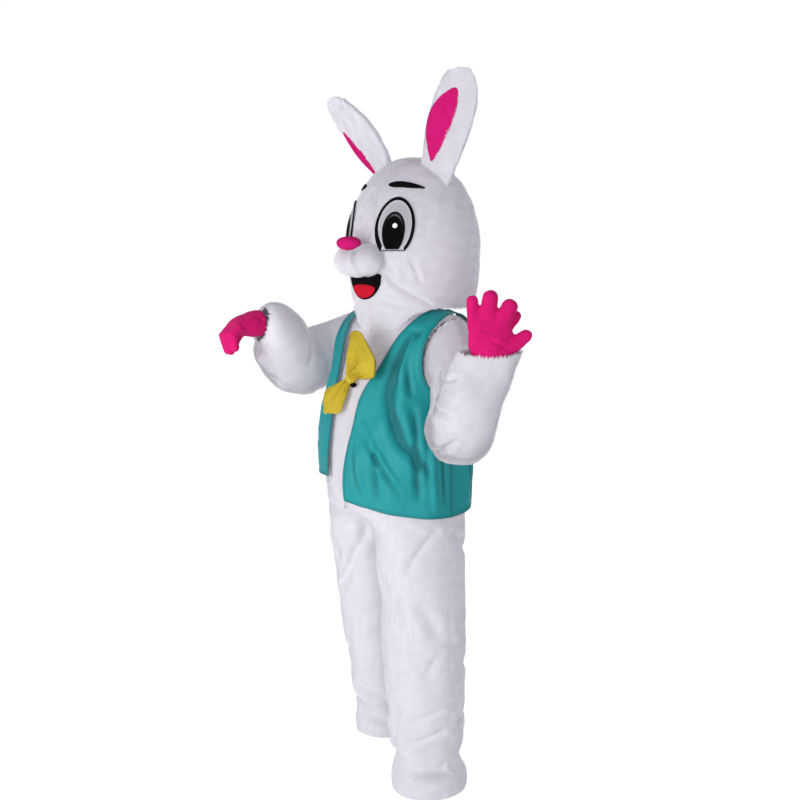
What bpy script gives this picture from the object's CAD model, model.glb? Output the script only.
"""Rabbit costume: plush jumpsuit, mascot head, satin vest, plush bow and fleece gloves.

The shape functions work in millimetres, as whole numpy arrays, and the meshes are written in metres.
The front faces -Y, the wearer's left is +X, and the origin lies between the shoulders. A surface is
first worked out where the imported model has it; cloth then lies one pile's height further in, so that
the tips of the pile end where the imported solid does.
"""
import math

import bmesh
import bpy
import numpy as np
from bpy.props import FloatProperty, FloatVectorProperty, PointerProperty
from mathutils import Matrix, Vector


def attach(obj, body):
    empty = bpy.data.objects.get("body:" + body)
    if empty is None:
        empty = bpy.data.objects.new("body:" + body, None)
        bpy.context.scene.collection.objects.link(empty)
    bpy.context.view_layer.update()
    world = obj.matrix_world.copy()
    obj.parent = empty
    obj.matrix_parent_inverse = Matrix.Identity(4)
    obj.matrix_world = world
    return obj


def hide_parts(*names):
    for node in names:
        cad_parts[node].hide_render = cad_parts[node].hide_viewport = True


bl_info = {
    "name": "Rabbit Costume",
    "version": (1, 0, 0),
    "blender": (4, 5, 0),
    "location": "3D View > Sidebar > Costume",
    "description": "Dresses the packed rabbit costume in plush, satin, fleece and felt",
    "category": "Add Mesh",
}

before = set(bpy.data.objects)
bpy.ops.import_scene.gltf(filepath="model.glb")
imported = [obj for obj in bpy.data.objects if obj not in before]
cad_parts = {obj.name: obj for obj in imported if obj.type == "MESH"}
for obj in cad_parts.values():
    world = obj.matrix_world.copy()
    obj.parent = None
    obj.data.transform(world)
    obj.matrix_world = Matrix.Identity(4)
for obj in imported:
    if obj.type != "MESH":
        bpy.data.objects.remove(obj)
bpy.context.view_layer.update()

LEFT, RIGHT = 1, -1
SIDES = ((LEFT, "left"), (RIGHT, "right"))


# ---- numbers and curves ----------------------------------------------------------------------
def srgb(red, green, blue):
    """Linear colour of an 8-bit display colour."""
    c = np.array([red, green, blue]) / 255.0
    return tuple(float(x) for x in np.where(c <= 0.04045, c / 12.92, ((c + 0.055) / 1.055) ** 2.4))


def mix(a, b, t):
    """Straight run from a to b."""
    return a + (b - a) * t


def ease(t):
    """Run from 0 to 1 that starts and ends level: three t squared less two t cubed."""
    return t * t * (3 - 2 * t)


def ramp(t, low, high):
    """0 before low, 1 past high, eased between them."""
    return ease(np.clip((t - low) / (high - low), 0, 1))


def bump(t, centre, width):
    """Bell curve, 1 at the centre."""
    return np.exp(-(((t - centre) / width) ** 2))


def power(t, p):
    """Power of a number's size that keeps its sign."""
    return np.sign(t) * np.abs(t) ** p


def xyz(x, y, z):
    """Points from three arrays of any matching shapes."""
    return np.stack(np.broadcast_arrays(x, y, z), -1).astype(float)


def dot(a, b):
    """Dot product of arrays of vectors."""
    return np.sum(a * b, -1)


def unit(v):
    """Vectors scaled to length one."""
    return v / np.maximum(np.linalg.norm(v, axis=-1, keepdims=True), 1e-9)


def smooth_table(rows):
    """Curve through a table's rows: a cubic in each span, whose slopes come from the next rows out."""
    rows = np.array(rows, float)

    def at(station):
        """Row of the table at a station."""
        station = np.asarray(station, float)
        k = np.searchsorted(rows[1:-1, 0], station, side="left")
        p, q = rows[k], rows[k + 1]
        before, after = rows[np.maximum(k - 1, 0)], rows[np.minimum(k + 2, len(rows) - 1)]
        span = (q[..., :1] - p[..., :1])
        t = (station[..., None] - p[..., :1]) / span
        slope_in = (q - before) / (q[..., :1] - before[..., :1]) * span
        slope_out = (after - p) / (after[..., :1] - p[..., :1]) * span
        bend = 3 * (q - p) - 2 * slope_in - slope_out
        twist = slope_in + slope_out - 2 * (q - p)
        return (p + t * (slope_in + t * (bend + t * twist)))[..., 1:]

    return at


def ripple(points, size, seed):
    """Smooth unevenness between about -1 and 1: seven sine waves in odd directions."""
    rng = np.random.default_rng(seed)
    ways = unit(rng.normal(size=(7, 3))) * (2 * np.pi / size) * rng.uniform(0.6, 1.5, (7, 1))
    return np.sin(points @ ways.T + rng.uniform(0, 6.28, 7)).sum(-1) / 3.2


# ---- meshes ----------------------------------------------------------------------------------
def vertex_normals(points, faces):
    """Normals at the points: the sum of the faces' own, which are the cross of their diagonals."""
    a, b, c, d = (points[faces[:, i]] for i in (0, 1, 2, -1))
    face = np.cross(c - a, d - b) if faces.shape[1] == 4 else np.cross(b - a, c - a)
    total = np.zeros_like(points)
    for column in faces.T:
        for k in range(3):
            total[:, k] += np.bincount(column, weights=face[:, k], minlength=len(points))
    return unit(total)


def grid_normals(points, inside):
    """Normals of a grid of points: the cross of its two ways, turned away from points inside."""
    normal = np.cross(np.gradient(points, axis=0), np.gradient(points, axis=1))
    return unit(normal * np.sign(dot(normal, points - inside))[..., None])


def grid_faces(rows, columns, first=0, ring=False):
    """Four-sided faces between the neighbours of a grid, closed round its columns if it is a ring."""
    index = first + np.arange(rows * columns).reshape(rows, columns)
    if ring:
        index = np.concatenate([index, index[:, :1]], 1)
    a, b, c, d = index[:-1, :-1], index[1:, :-1], index[1:, 1:], index[:-1, 1:]
    return np.stack([a, b, c, d], -1).reshape(-1, 4)


def new_mesh(name, points, faces, material, weld=True, smooth=True, levels=0):
    """Object with its mesh in metres at the origin, welded and with its faces turned out."""
    mesh = bpy.data.meshes.new(name)
    mesh.from_pydata((np.asarray(points).reshape(-1, 3) / 1000).tolist(), [], np.asarray(faces).tolist())
    if weld:
        work = bmesh.new()
        work.from_mesh(mesh)
        bmesh.ops.remove_doubles(work, verts=work.verts, dist=2e-6)
        bmesh.ops.dissolve_degenerate(work, edges=work.edges, dist=1e-6)
        bmesh.ops.recalc_face_normals(work, faces=work.faces)
        work.to_mesh(mesh)
        work.free()
    mesh.polygons.foreach_set("use_smooth", np.full(len(mesh.polygons), smooth))
    mesh.materials.append(material)
    obj = bpy.data.objects.new(name, mesh)
    bpy.context.scene.collection.objects.link(obj)
    if levels:
        finer = obj.modifiers.new("finer", "SUBSURF")
        finer.levels = finer.render_levels = levels
    return obj


def set_values(obj, name, values):
    """Value at each point of a mesh, read by its material."""
    layer = obj.data.attributes.new(name, "FLOAT", "POINT")
    layer.data.foreach_set("value", np.asarray(values, np.float32).ravel())


def wall_object(name, outer, inner, material):
    """Closed cloth wall between two grids of points, with a rim all round."""
    rows, columns = outer.shape[:2]
    top = np.arange(rows * columns).reshape(rows, columns)
    low = top + rows * columns
    faces = [grid_faces(rows, columns), grid_faces(rows, columns, rows * columns)[:, ::-1]]
    for a, b in ((top[0], low[0]), (low[-1], top[-1]), (low[:, 0], top[:, 0]), (top[:, -1], low[:, -1])):
        faces.append(np.stack([a[:-1], a[1:], b[1:], b[:-1]], -1))
    points = np.concatenate([outer.reshape(-1, 3), inner.reshape(-1, 3)])
    return new_mesh(name, points, np.concatenate(faces), material)


def skin_arrays(rings, first, last):
    """Closed skin over rings of points, with a point closing each end."""
    rings = np.asarray(rings)
    count, n = rings.shape[:2]
    points = np.concatenate([rings.reshape(-1, 3), [first], [last]])
    around = np.arange(n)
    beyond = (around + 1) % n
    tail = (count - 1) * n
    caps = [
        np.stack([np.full(n, count * n), beyond, around, around], -1),
        np.stack([np.full(n, count * n + 1), tail + around, tail + beyond, tail + beyond], -1),
    ]
    return points, np.concatenate([grid_faces(count, n, ring=True)[:, ::-1], *caps])


def skin_object(name, rings, first, last, material):
    """Object of a closed skin; its two ends are fans of triangles."""
    points, faces = skin_arrays(rings, first, last)
    lists = [f[:3] if f[2] == f[3] else f for f in faces.tolist()]
    mesh = bpy.data.meshes.new(name)
    mesh.from_pydata((points / 1000).tolist(), [], lists)
    work = bmesh.new()
    work.from_mesh(mesh)
    bmesh.ops.recalc_face_normals(work, faces=work.faces)
    work.to_mesh(mesh)
    work.free()
    mesh.polygons.foreach_set("use_smooth", np.ones(len(mesh.polygons), bool))
    mesh.materials.append(material)
    obj = bpy.data.objects.new(name, mesh)
    bpy.context.scene.collection.objects.link(obj)
    return obj


def united(parts, voxel):
    """Outer skin of closed skins that run into each other, as points and four-sided faces."""
    points, faces, start = [], [], 0
    for part_points, part_faces in parts:
        points.append(part_points)
        faces.append(part_faces + start)
        start += len(part_points)
    lists = [f[:3] if f[2] == f[3] else f for f in np.concatenate(faces).tolist()]
    mesh = bpy.data.meshes.new("united")
    mesh.from_pydata((np.concatenate(points) / 1000).tolist(), [], lists)
    work = bmesh.new()
    work.from_mesh(mesh)
    bmesh.ops.recalc_face_normals(work, faces=work.faces)
    work.to_mesh(mesh)
    work.free()
    obj = bpy.data.objects.new("united", mesh)
    bpy.context.scene.collection.objects.link(obj)
    remesh = obj.modifiers.new("remesh", "REMESH")
    remesh.mode = "VOXEL"
    remesh.voxel_size = voxel / 1000
    shaped = obj.evaluated_get(bpy.context.evaluated_depsgraph_get()).to_mesh()
    out = np.empty(len(shaped.vertices) * 3, np.float32)
    shaped.vertices.foreach_get("co", out)
    quads = np.empty(len(shaped.loops), np.int32)
    shaped.loops.foreach_get("vertex_index", quads)
    obj.to_mesh_clear()
    bpy.data.objects.remove(obj)
    bpy.data.meshes.remove(mesh)
    return out.reshape(-1, 3).astype(float) * 1000, quads.reshape(-1, 4)


def relax(points, faces, rounds, pull=0.5):
    """Points drawn towards the mean of their neighbours, a number of times."""
    a = faces.ravel()
    b = np.roll(faces, -1, 1).ravel()
    start, end = np.concatenate([a, b]), np.concatenate([b, a])
    count = np.bincount(start, minlength=len(points))[:, None]
    for _ in range(rounds):
        total = [np.bincount(start, weights=points[end, k], minlength=len(points)) for k in range(3)]
        points = mix(points, np.stack(total, -1) / count, pull)
    return points


def fold_depth(points, path, width, depth):
    """How far cloth sinks along a path: a soft trough with low shoulders, fading at both ends."""
    start, way = path[:-1], path[1:] - path[:-1]
    offset = points[:, None, :] - start[None]
    along = np.clip(dot(offset, way[None]) / dot(way, way), 0, 1)
    apart = np.linalg.norm(offset - along[..., None] * way[None], axis=-1)
    nearest = apart.argmin(1)
    pick = np.arange(len(points))
    run = (nearest + along[pick, nearest]) / len(way)
    gap = apart[pick, nearest] / width
    trough = np.exp(-gap**2) - 0.3 * np.exp(-(((gap - 2) / 0.9) ** 2))
    return depth * trough * (0.25 + 0.75 * np.sin(np.pi * np.clip(run, 0.02, 0.98)) ** 0.5)


def sunk_by(points, surface, rows):
    """Sum of the folds of a table: each runs between two places of the surface's own measures."""
    flat = points.reshape(-1, 3)
    total = np.zeros(len(flat))
    for *ends, width, depth in rows:
        stops = np.array(ends, float).reshape(-1, 2)
        run = np.linspace(0, len(stops) - 1, 5 * (len(stops) - 1) + 1)
        u = np.interp(run, range(len(stops)), stops[:, 0])
        v = np.interp(run, range(len(stops)), stops[:, 1])
        total += fold_depth(flat, surface(u, v), width, depth)
    return total.reshape(points.shape[:-1])


# ---- pile ------------------------------------------------------------------------------------
def pile_object(name, points, faces, nap, blades, material, seed, reach=None, length=None, width=None,
                tilt=14.0, keep=None, span=(-9999, 9999)):
    """Pile of a cloth as one mesh of slender blades.

    Roots are spread evenly over the faces by their area. A blade leans from the normal towards the
    nap and ends at the height of the pile, with small seeded turns and slow changes from tuft to
    tuft. Every tip stays in the span of heights.
    """
    plush = bpy.context.scene.costume_plush
    reach = plush.reach * 1000 if reach is None else reach
    length = plush.length * 1000 if length is None else length
    width = plush.blade_width * 1000 if width is None else width
    blades = int(blades * plush.density)
    rng = np.random.default_rng(seed)
    normals = vertex_normals(points, faces)
    tris = np.concatenate([faces[:, :3], faces[:, [0, 2, 3]]]) if faces.shape[1] == 4 else faces
    a, b, c = (points[tris[:, i]] for i in range(3))
    area = np.linalg.norm(np.cross(b - a, c - a), axis=1) / 2
    if keep is not None:
        area = area * keep((a + b + c) / 3)
    total = np.cumsum(area)
    spot = (np.arange(blades) + rng.random(blades)) / blades * total[-1]
    tri = np.minimum(np.searchsorted(total, spot), len(tris) - 1)
    s, t = rng.random(blades), rng.random(blades)
    over = s + t > 1
    s[over], t[over] = 1 - s[over], 1 - t[over]
    corner = tris[tri]
    weight = np.stack([1 - s - t, s, t], -1)[..., None]
    root = (points[corner] * weight).sum(1)
    normal = unit((normals[corner] * weight).sum(1))
    tuft = ripple(root, 34, seed + 1)
    small = ripple(root, 9, seed + 2)
    way = nap(root)
    way = unit(way - normal * dot(way, normal)[:, None])
    side = np.cross(normal, way)
    yaw = np.radians(tilt * (0.8 * rng.normal(size=blades) + 1.0 * tuft + 0.6 * small))
    way = way * np.cos(yaw)[:, None] + side * np.sin(yaw)[:, None]
    rise = np.clip(reach * (0.9 + 0.1 * small + 0.12 * rng.normal(size=blades)), 0.4 * reach, 1.12 * reach)
    run = np.sqrt(np.maximum((length * rng.uniform(0.75, 1.1, blades)) ** 2 - rise**2, 1.0))
    tip = root + normal * rise[:, None] + way * run[:, None]
    tip[:, 2] = np.clip(tip[:, 2], *span)
    across = unit(np.cross(tip - root, normal)) * (width / 2 * rng.uniform(0.7, 1.2, blades))[:, None]
    sunk = root - normal * 0.6
    corners = np.stack([sunk - across, sunk + across, tip], 1)
    upper = unit(np.cross(across, tip - root))
    shade = unit(normal + 0.35 * upper * np.sign(dot(upper, normal))[:, None])
    mesh = bpy.data.meshes.new(name)
    mesh.vertices.add(3 * blades)
    mesh.vertices.foreach_set("co", (corners / 1000).astype(np.float32).ravel())
    mesh.loops.add(3 * blades)
    order = np.arange(3 * blades, dtype=np.int32)
    mesh.loops.foreach_set("vertex_index", order)
    mesh.polygons.add(blades)
    mesh.polygons.foreach_set("loop_start", order[::3].copy())
    mesh.polygons.foreach_set("use_smooth", np.ones(blades, bool))
    mesh.update(calc_edges=True)
    mesh.normals_split_custom_set_from_vertices(np.repeat(shade, 3, 0).tolist())
    mesh.materials.append(material)
    obj = bpy.data.objects.new(name, mesh)
    bpy.context.scene.collection.objects.link(obj)
    level = np.tile([0.0, 0.0, 1.0], (blades, 1)) * rng.uniform(0.8, 1.0, (blades, 1))
    set_values(obj, "pile", np.clip(level + 0.10 * tuft[:, None], 0, 1))
    return obj


# ---- finishes --------------------------------------------------------------------------------
def new_group(name, inputs, outputs):
    """Empty shader node group with its sockets; gives the group, its nodes and its two ends."""
    group = bpy.data.node_groups.new(name, "ShaderNodeTree")
    for label, kind, value in inputs:
        socket = group.interface.new_socket(label, in_out="INPUT", socket_type=kind)
        if value is not None:
            socket.default_value = value
    for label, kind in outputs:
        group.interface.new_socket(label, in_out="OUTPUT", socket_type=kind)
    return group, group.nodes.new("NodeGroupInput"), group.nodes.new("NodeGroupOutput")


def grain_group():
    """Cloth grain: slow and fine noise that shifts the colour and raises the surface."""
    if "Cloth grain" in bpy.data.node_groups:
        return bpy.data.node_groups["Cloth grain"]
    group, start, end = new_group(
        "Cloth grain",
        [
            ("Vector", "NodeSocketVector", None),
            ("Colour", "NodeSocketColor", (1, 1, 1, 1)),
            ("Shade", "NodeSocketColor", (0.5, 0.5, 0.5, 1)),
            ("Patches", "NodeSocketFloat", 12.0),
            ("Fibres", "NodeSocketFloat", 400.0),
            ("Contrast", "NodeSocketFloat", 0.5),
        ],
        [("Colour", "NodeSocketColor"), ("Height", "NodeSocketFloat")],
    )
    nodes, links = group.nodes, group.links
    slow = nodes.new("ShaderNodeTexNoise")
    slow.inputs["Detail"].default_value = 4
    fine = nodes.new("ShaderNodeTexNoise")
    fine.inputs["Detail"].default_value = 5
    fine.inputs["Roughness"].default_value = 0.65
    for node, scale in ((slow, "Patches"), (fine, "Fibres")):
        links.new(start.outputs["Vector"], node.inputs["Vector"])
        links.new(start.outputs[scale], node.inputs["Scale"])
    both = nodes.new("ShaderNodeMath")
    both.operation = "MULTIPLY_ADD"
    both.inputs[1].default_value = 0.45
    links.new(fine.outputs["Fac"], both.inputs[0])
    links.new(slow.outputs["Fac"], both.inputs[2])
    spread = nodes.new("ShaderNodeMapRange")
    spread.inputs["From Min"].default_value = 0.5
    spread.inputs["From Max"].default_value = 0.95
    links.new(both.outputs[0], spread.inputs["Value"])
    amount = nodes.new("ShaderNodeMath")
    amount.operation = "MULTIPLY"
    links.new(spread.outputs["Result"], amount.inputs[0])
    links.new(start.outputs["Contrast"], amount.inputs[1])
    blend = nodes.new("ShaderNodeMix")
    blend.data_type = "RGBA"
    links.new(amount.outputs[0], blend.inputs["Factor"])
    links.new(start.outputs["Colour"], blend.inputs["A"])
    links.new(start.outputs["Shade"], blend.inputs["B"])
    links.new(blend.outputs["Result"], end.inputs["Colour"])
    links.new(both.outputs[0], end.inputs["Height"])
    return group


def weave_group():
    """Weave: two sets of threads that cross, with a slack that wavers from place to place."""
    if "Weave" in bpy.data.node_groups:
        return bpy.data.node_groups["Weave"]
    group, start, end = new_group(
        "Weave",
        [("Vector", "NodeSocketVector", None), ("Threads", "NodeSocketFloat", 900.0)],
        [("Height", "NodeSocketFloat")],
    )
    nodes, links = group.nodes, group.links
    waves = []
    for axis in ("X", "Z"):
        wave = nodes.new("ShaderNodeTexWave")
        wave.bands_direction = axis
        wave.inputs["Distortion"].default_value = 0.6
        links.new(start.outputs["Vector"], wave.inputs["Vector"])
        links.new(start.outputs["Threads"], wave.inputs["Scale"])
        waves.append(wave)
    top = nodes.new("ShaderNodeMath")
    top.operation = "MAXIMUM"
    links.new(waves[0].outputs["Fac"], top.inputs[0])
    links.new(waves[1].outputs["Fac"], top.inputs[1])
    links.new(top.outputs[0], end.inputs["Height"])
    return group


def cloth(name, colour, shade, patches, fibres, contrast, roughness, lift, threads=0, sheen=0.0,
          sheen_roughness=0.5, specular=0.3, edge=None, value="", blades=0.0):
    """Cloth material: grain in its colour, raised fibres or threads, and an optional second colour
    that a value at the points brings in, such as the root of a pile or a turned edge. With blades,
    the back of a blade takes the normal of its front and a part of the light that comes through."""
    if name in bpy.data.materials:
        return bpy.data.materials[name]
    mat = bpy.data.materials.new(name)
    mat.use_nodes = True
    nodes, links = mat.node_tree.nodes, mat.node_tree.links
    shader = nodes["Principled BSDF"]
    shader.inputs["Roughness"].default_value = roughness
    shader.inputs["Specular IOR Level"].default_value = specular
    shader.inputs["Sheen Weight"].default_value = sheen
    shader.inputs["Sheen Roughness"].default_value = sheen_roughness
    place = nodes.new("ShaderNodeTexCoord")
    grain = nodes.new("ShaderNodeGroup")
    grain.node_tree = grain_group()
    links.new(place.outputs["Object"], grain.inputs["Vector"])
    grain.inputs["Colour"].default_value = (*colour, 1)
    grain.inputs["Shade"].default_value = (*shade, 1)
    grain.inputs["Patches"].default_value = patches
    grain.inputs["Fibres"].default_value = fibres
    grain.inputs["Contrast"].default_value = contrast
    colour_out, height = grain.outputs["Colour"], grain.outputs["Height"]
    if value:
        reader = nodes.new("ShaderNodeAttribute")
        reader.attribute_name = value
        second = nodes.new("ShaderNodeMix")
        second.data_type = "RGBA"
        links.new(reader.outputs["Fac"], second.inputs["Factor"])
        second.inputs["A"].default_value = (*edge, 1)
        links.new(colour_out, second.inputs["B"])
        colour_out = second.outputs["Result"]
    links.new(colour_out, shader.inputs["Base Color"])
    if blades:
        side = nodes.new("ShaderNodeNewGeometry")
        flip = nodes.new("ShaderNodeMath")
        flip.operation = "MULTIPLY_ADD"
        flip.inputs[1].default_value, flip.inputs[2].default_value = -2, 1
        links.new(side.outputs["Backfacing"], flip.inputs[0])
        turned = nodes.new("ShaderNodeVectorMath")
        turned.operation = "SCALE"
        links.new(side.outputs["Normal"], turned.inputs[0])
        links.new(flip.outputs[0], turned.inputs["Scale"])
        links.new(turned.outputs[0], shader.inputs["Normal"])
        through = nodes.new("ShaderNodeVectorMath")
        through.operation = "SCALE"
        links.new(colour_out, through.inputs[0])
        part = nodes.new("ShaderNodeMath")
        part.operation = "MULTIPLY"
        part.inputs[1].default_value = blades
        links.new(side.outputs["Backfacing"], part.inputs[0])
        links.new(part.outputs[0], through.inputs["Scale"])
        links.new(through.outputs[0], shader.inputs["Emission Color"])
        shader.inputs["Emission Strength"].default_value = 1.0
        return mat
    if threads:
        weave = nodes.new("ShaderNodeGroup")
        weave.node_tree = weave_group()
        weave.inputs["Threads"].default_value = threads
        links.new(place.outputs["Object"], weave.inputs["Vector"])
        add = nodes.new("ShaderNodeMath")
        add.operation = "MULTIPLY_ADD"
        add.inputs[1].default_value = 0.5
        links.new(weave.outputs["Height"], add.inputs[0])
        links.new(height, add.inputs[2])
        height = add.outputs[0]
    relief = nodes.new("ShaderNodeBump")
    relief.inputs["Strength"].default_value = 1.0
    relief.inputs["Distance"].default_value = lift
    links.new(height, relief.inputs["Height"])
    links.new(relief.outputs["Normal"], shader.inputs["Normal"])
    return mat


def plush_pile():
    """White plush: lilac-grey at the roots of its pile and white at the tips."""
    p = bpy.context.scene.costume_plush
    return cloth("Plush pile", p.tip_colour, p.shade_colour, 5, 60, 0.35, 0.95, 0.0004,
                 edge=tuple(p.root_colour), value="pile", specular=0.05, blades=0.5)


def plush_ground():
    """Knitted ground under the pile."""
    p = bpy.context.scene.costume_plush
    return cloth("Plush ground", p.ground_colour, p.root_colour, 9, 300, 0.5, 0.95, 0.0012, specular=0.1)


def satin():
    """Vest satin with a darker turned edge."""
    v = bpy.context.scene.costume_vest
    return cloth("Vest satin", v.colour, v.shade_colour, 7, 500, 0.3, 0.5, 0.0001, threads=700,
                 sheen=0.06, sheen_roughness=0.35, specular=0.22, edge=tuple(v.edge_colour), value="inner")


def thread():
    """Sewing thread of the vest."""
    v = bpy.context.scene.costume_vest
    return cloth("Vest thread", v.edge_colour, v.shade_colour, 60, 900, 0.4, 0.6, 0.0001)


def grey_thread():
    """Loose thread at the corners of the vest."""
    return cloth("Grey thread", srgb(150, 160, 165), srgb(95, 105, 110), 60, 900, 0.5, 0.7, 0.0001)


def bow_plush():
    """Yellow plush of the bow, mustard between its gathers."""
    t = bpy.context.scene.costume_trim
    return cloth("Bow plush", t.bow_colour, t.bow_shade, 22, 240, 0.45, 0.95, 0.0007, specular=0.08,
                 edge=tuple(t.bow_shade), value="pile")


def fleece():
    """Fleece of the gloves."""
    t = bpy.context.scene.costume_trim
    return cloth("Glove fleece", t.glove_colour, t.glove_shade, 30, 420, 0.5, 0.92, 0.0009, sheen=0.05,
                 specular=0.08)


def felt(name, colour, shade, roughness=0.95, specular=0.06):
    """Felt with short matted fibres."""
    return cloth(name, colour, shade, 40, 700, 0.45, roughness, 0.0005, specular=specular)


def pink_felt():
    """Pink felt of the nose and the inner ears."""
    t = bpy.context.scene.costume_trim
    return felt("Pink felt", t.felt_pink, t.felt_pink_shade)


def red_felt():
    """Red felt of the tongue."""
    return felt("Red felt", srgb(200, 26, 46), srgb(150, 14, 36))


def black_felt():
    """Black felt of the brows, the mouth and the outlines of the eyes."""
    return felt("Black felt", srgb(8, 8, 9), srgb(20, 20, 22), 0.9, 0.05)


def eye_cloth():
    """Grey-white printed cloth of the eyes, paler beside the outline."""
    return cloth("Eye cloth", srgb(176, 178, 184), srgb(158, 160, 167), 14, 300, 0.3, 0.7, 0.0001,
                 threads=800, edge=srgb(222, 223, 227), value="inner", specular=0.1)


def pupil_mesh():
    """Black mesh that the wearer looks out through, with a dull shine on its threads."""
    return cloth("Pupil mesh", srgb(4, 4, 5), srgb(15, 15, 17), 60, 600, 0.5, 0.7, 0.0005, threads=330,
                 edge=srgb(190, 191, 194), value="inner", specular=0.05)


def glint_vinyl():
    """White dot of the pupil."""
    return cloth("Glint vinyl", srgb(244, 244, 246), srgb(225, 225, 230), 30, 300, 0.3, 0.4, 0.0001)


def place(obj, slot, nodes=(), body="root"):
    """Hand a finished piece to the frame: its body, its material slot and the solids it stands for."""
    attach(obj, body)
    if nodes:
        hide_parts(*nodes)
    return obj


# ---- jumpsuit --------------------------------------------------------------------------------
CROTCH, SEAT, UNDERARM, NECK_START = -660, -535, -240, -70
TRIM = 0.0007
SEAM = 0.3

# height, centre out and back, half width, half depth
LEG = {
    LEFT: smooth_table([
        [-1341, 141, 2, 99, 106], [-1318, 141, 2, 103, 110], [-1285, 138, 3, 101, 108],
        [-1248, 132, 4, 91, 98], [-1215, 128, 5, 97, 104], [-1150, 123, 6, 101, 110],
        [-1000, 118, 4, 108, 117], [-850, 114, 2, 112, 124], [CROTCH, 106, 0, 105, 134],
        [SEAT, 106, 0, 103, 150],
    ]),
    RIGHT: smooth_table([
        [-1262, 108, 58, 90, 96], [-1235, 107, 57, 94, 99], [-1195, 105, 53, 91, 97],
        [-1120, 102, 44, 93, 102], [-1000, 101, 30, 97, 110], [-850, 102, 14, 99, 120],
        [CROTCH, 104, 0, 103, 132], [SEAT, 106, 0, 103, 150],
    ]),
}
HEM = {LEFT: -1341, RIGHT: -1262}

# height, side seam out and back, centre front, centre back, fullness
TORSO = smooth_table([
    [-760, 212, 0, -150, 164, 0.9], [-640, 211, 0, -166, 170, 0.9], [-560, 207, 2, -174, 173, 0.9],
    [-480, 204, 4, -186, 175, 0.92], [-415, 203, 6, -188, 176, 0.94], [-330, 202, 9, -176, 177, 0.96],
    [UNDERARM, 199, 14, -156, 178, 1], [-190, 196, 20, -140, 177, 1.05], [-125, 190, 26, -114, 167, 1.15],
    [-70, 190, 32, -93, 146, 1.4], [-30, 190, 36, -74, 122, 1.8], [0, 190, 36, -60, 110, 2],
])
NECKLINE = {
    "front": smooth_table([
        [-70, 0, -93, -70], [-50, 34, -88, -60], [-30, 66, -60, -38], [-12, 82, -12, -15], [0, 86, 33, -5],
    ]),
    "back": smooth_table([
        [-70, 0, 146, -60], [-50, 34, 142, -48], [-30, 66, 122, -30], [-12, 82, 78, -12], [0, 86, 33, -5],
    ]),
}
ARMHOLE_LOW, ARMHOLE_TIP = np.array([199.0, 14, UNDERARM]), np.array([205.0, 37, -30])
ARMHOLE_MIDDLE, ARMHOLE_HALF = (ARMHOLE_LOW + ARMHOLE_TIP) / 2, (ARMHOLE_TIP - ARMHOLE_LOW) / 2
ARMHOLE_REACH = {"front": np.array([-20.0, -84, 0]), "back": np.array([-14.0, 84, 0])}


def armhole(face, angle):
    """Point of the armhole's loop: an ellipse by its angle from the shoulder tip."""
    angle = np.asarray(angle)[..., None]
    return ARMHOLE_MIDDLE + ARMHOLE_HALF * np.cos(angle) + ARMHOLE_REACH[face] * np.sin(angle)


def outer_edge(face, s):
    """Side seam, and above the underarm the armhole."""
    row = TORSO(s)
    loop = armhole(face, np.pi * (1 - (s - UNDERARM) / -UNDERARM))
    return np.where((s <= UNDERARM)[..., None], xyz(row[..., 0], row[..., 1], s), loop)


def inner_edge(face, s):
    """Centre front or back, and at the top the neckline."""
    row = TORSO(s)
    lift = 10 * ramp(s, UNDERARM, NECK_START) if face == "back" else 0 * s
    middle = xyz(0 * s, row[..., 2 if face == "front" else 3], s + lift)
    return np.where((s <= NECK_START)[..., None], middle, NECKLINE[face](s))


def torso_point(face, w, s):
    """Quarter girth of the torso: a super-ellipse from the middle, w 1, to the side, w 0."""
    inner, outer = inner_edge(face, s), outer_edge(face, s)
    turn = w * np.pi / 2
    full = TORSO(s)[..., 4]
    across = power(np.cos(turn), full)
    along = power(np.sin(np.abs(turn)), full)
    sign = np.where((w < 0) == (face == "front"), 1, -1)
    return xyz(
        mix(inner[..., 0], outer[..., 0], across),
        mix(outer[..., 1], inner[..., 1], sign * along),
        mix(outer[..., 2], inner[..., 2], ease(np.clip(np.abs(w), 0, 1))),
    )


def leg_point(side, w, s):
    """Half girth of a leg: an ellipse from the inseam, w -1, over the front to the side, w 0."""
    row = LEG[side](s)
    turn = w * np.pi
    return xyz(row[..., 0] + row[..., 2] * np.cos(turn),
               row[..., 1] + row[..., 3] * power(np.sin(turn), 0.94), s)


# side, w, height, how high, how wide, how deep, climb
LEG_FOLDS = (
    (LEFT, -0.35, -1252, 26, 0.5, 9, 30), (LEFT, 0.5, -1262, 26, 0.5, 8, -20),
    (LEFT, -0.3, -1130, 40, 0.3, 6, -60), (LEFT, -0.62, -800, 60, 0.22, 7, 160),
    (RIGHT, -0.4, -1180, 30, 0.5, 8, 30), (RIGHT, 0.5, -1190, 30, 0.5, 7, -20),
    (RIGHT, -0.3, -1040, 45, 0.4, 6, -50), (RIGHT, -0.6, -790, 60, 0.22, 7, 150),
)


def suit_point(side, face, w, s):
    """Jumpsuit of one side: the leg below, the torso above, one turning into the other."""
    w, s = np.broadcast_arrays(np.asarray(w, float), np.asarray(s, float))
    torso = ramp(s, CROTCH, SEAT)
    point = mix(leg_point(side, w, s), torso_point(face, w, s), torso[..., None])
    sunk = 0 * s
    for which, fold_w, z, tall, wide, deep, climb in LEG_FOLDS:
        if which == side:
            sunk = sunk + deep * bump(s, z + climb * (w - fold_w), tall) * bump(w, fold_w, wide)
    drawn = sunk * (1 - torso) / 110 * ramp(1 - np.abs(w), 0, 0.12)
    row = LEG[side](s)
    point = mix(point, xyz(row[..., 0], row[..., 1], s), drawn[..., None])
    return point * np.array([side, 1, 1])


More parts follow.
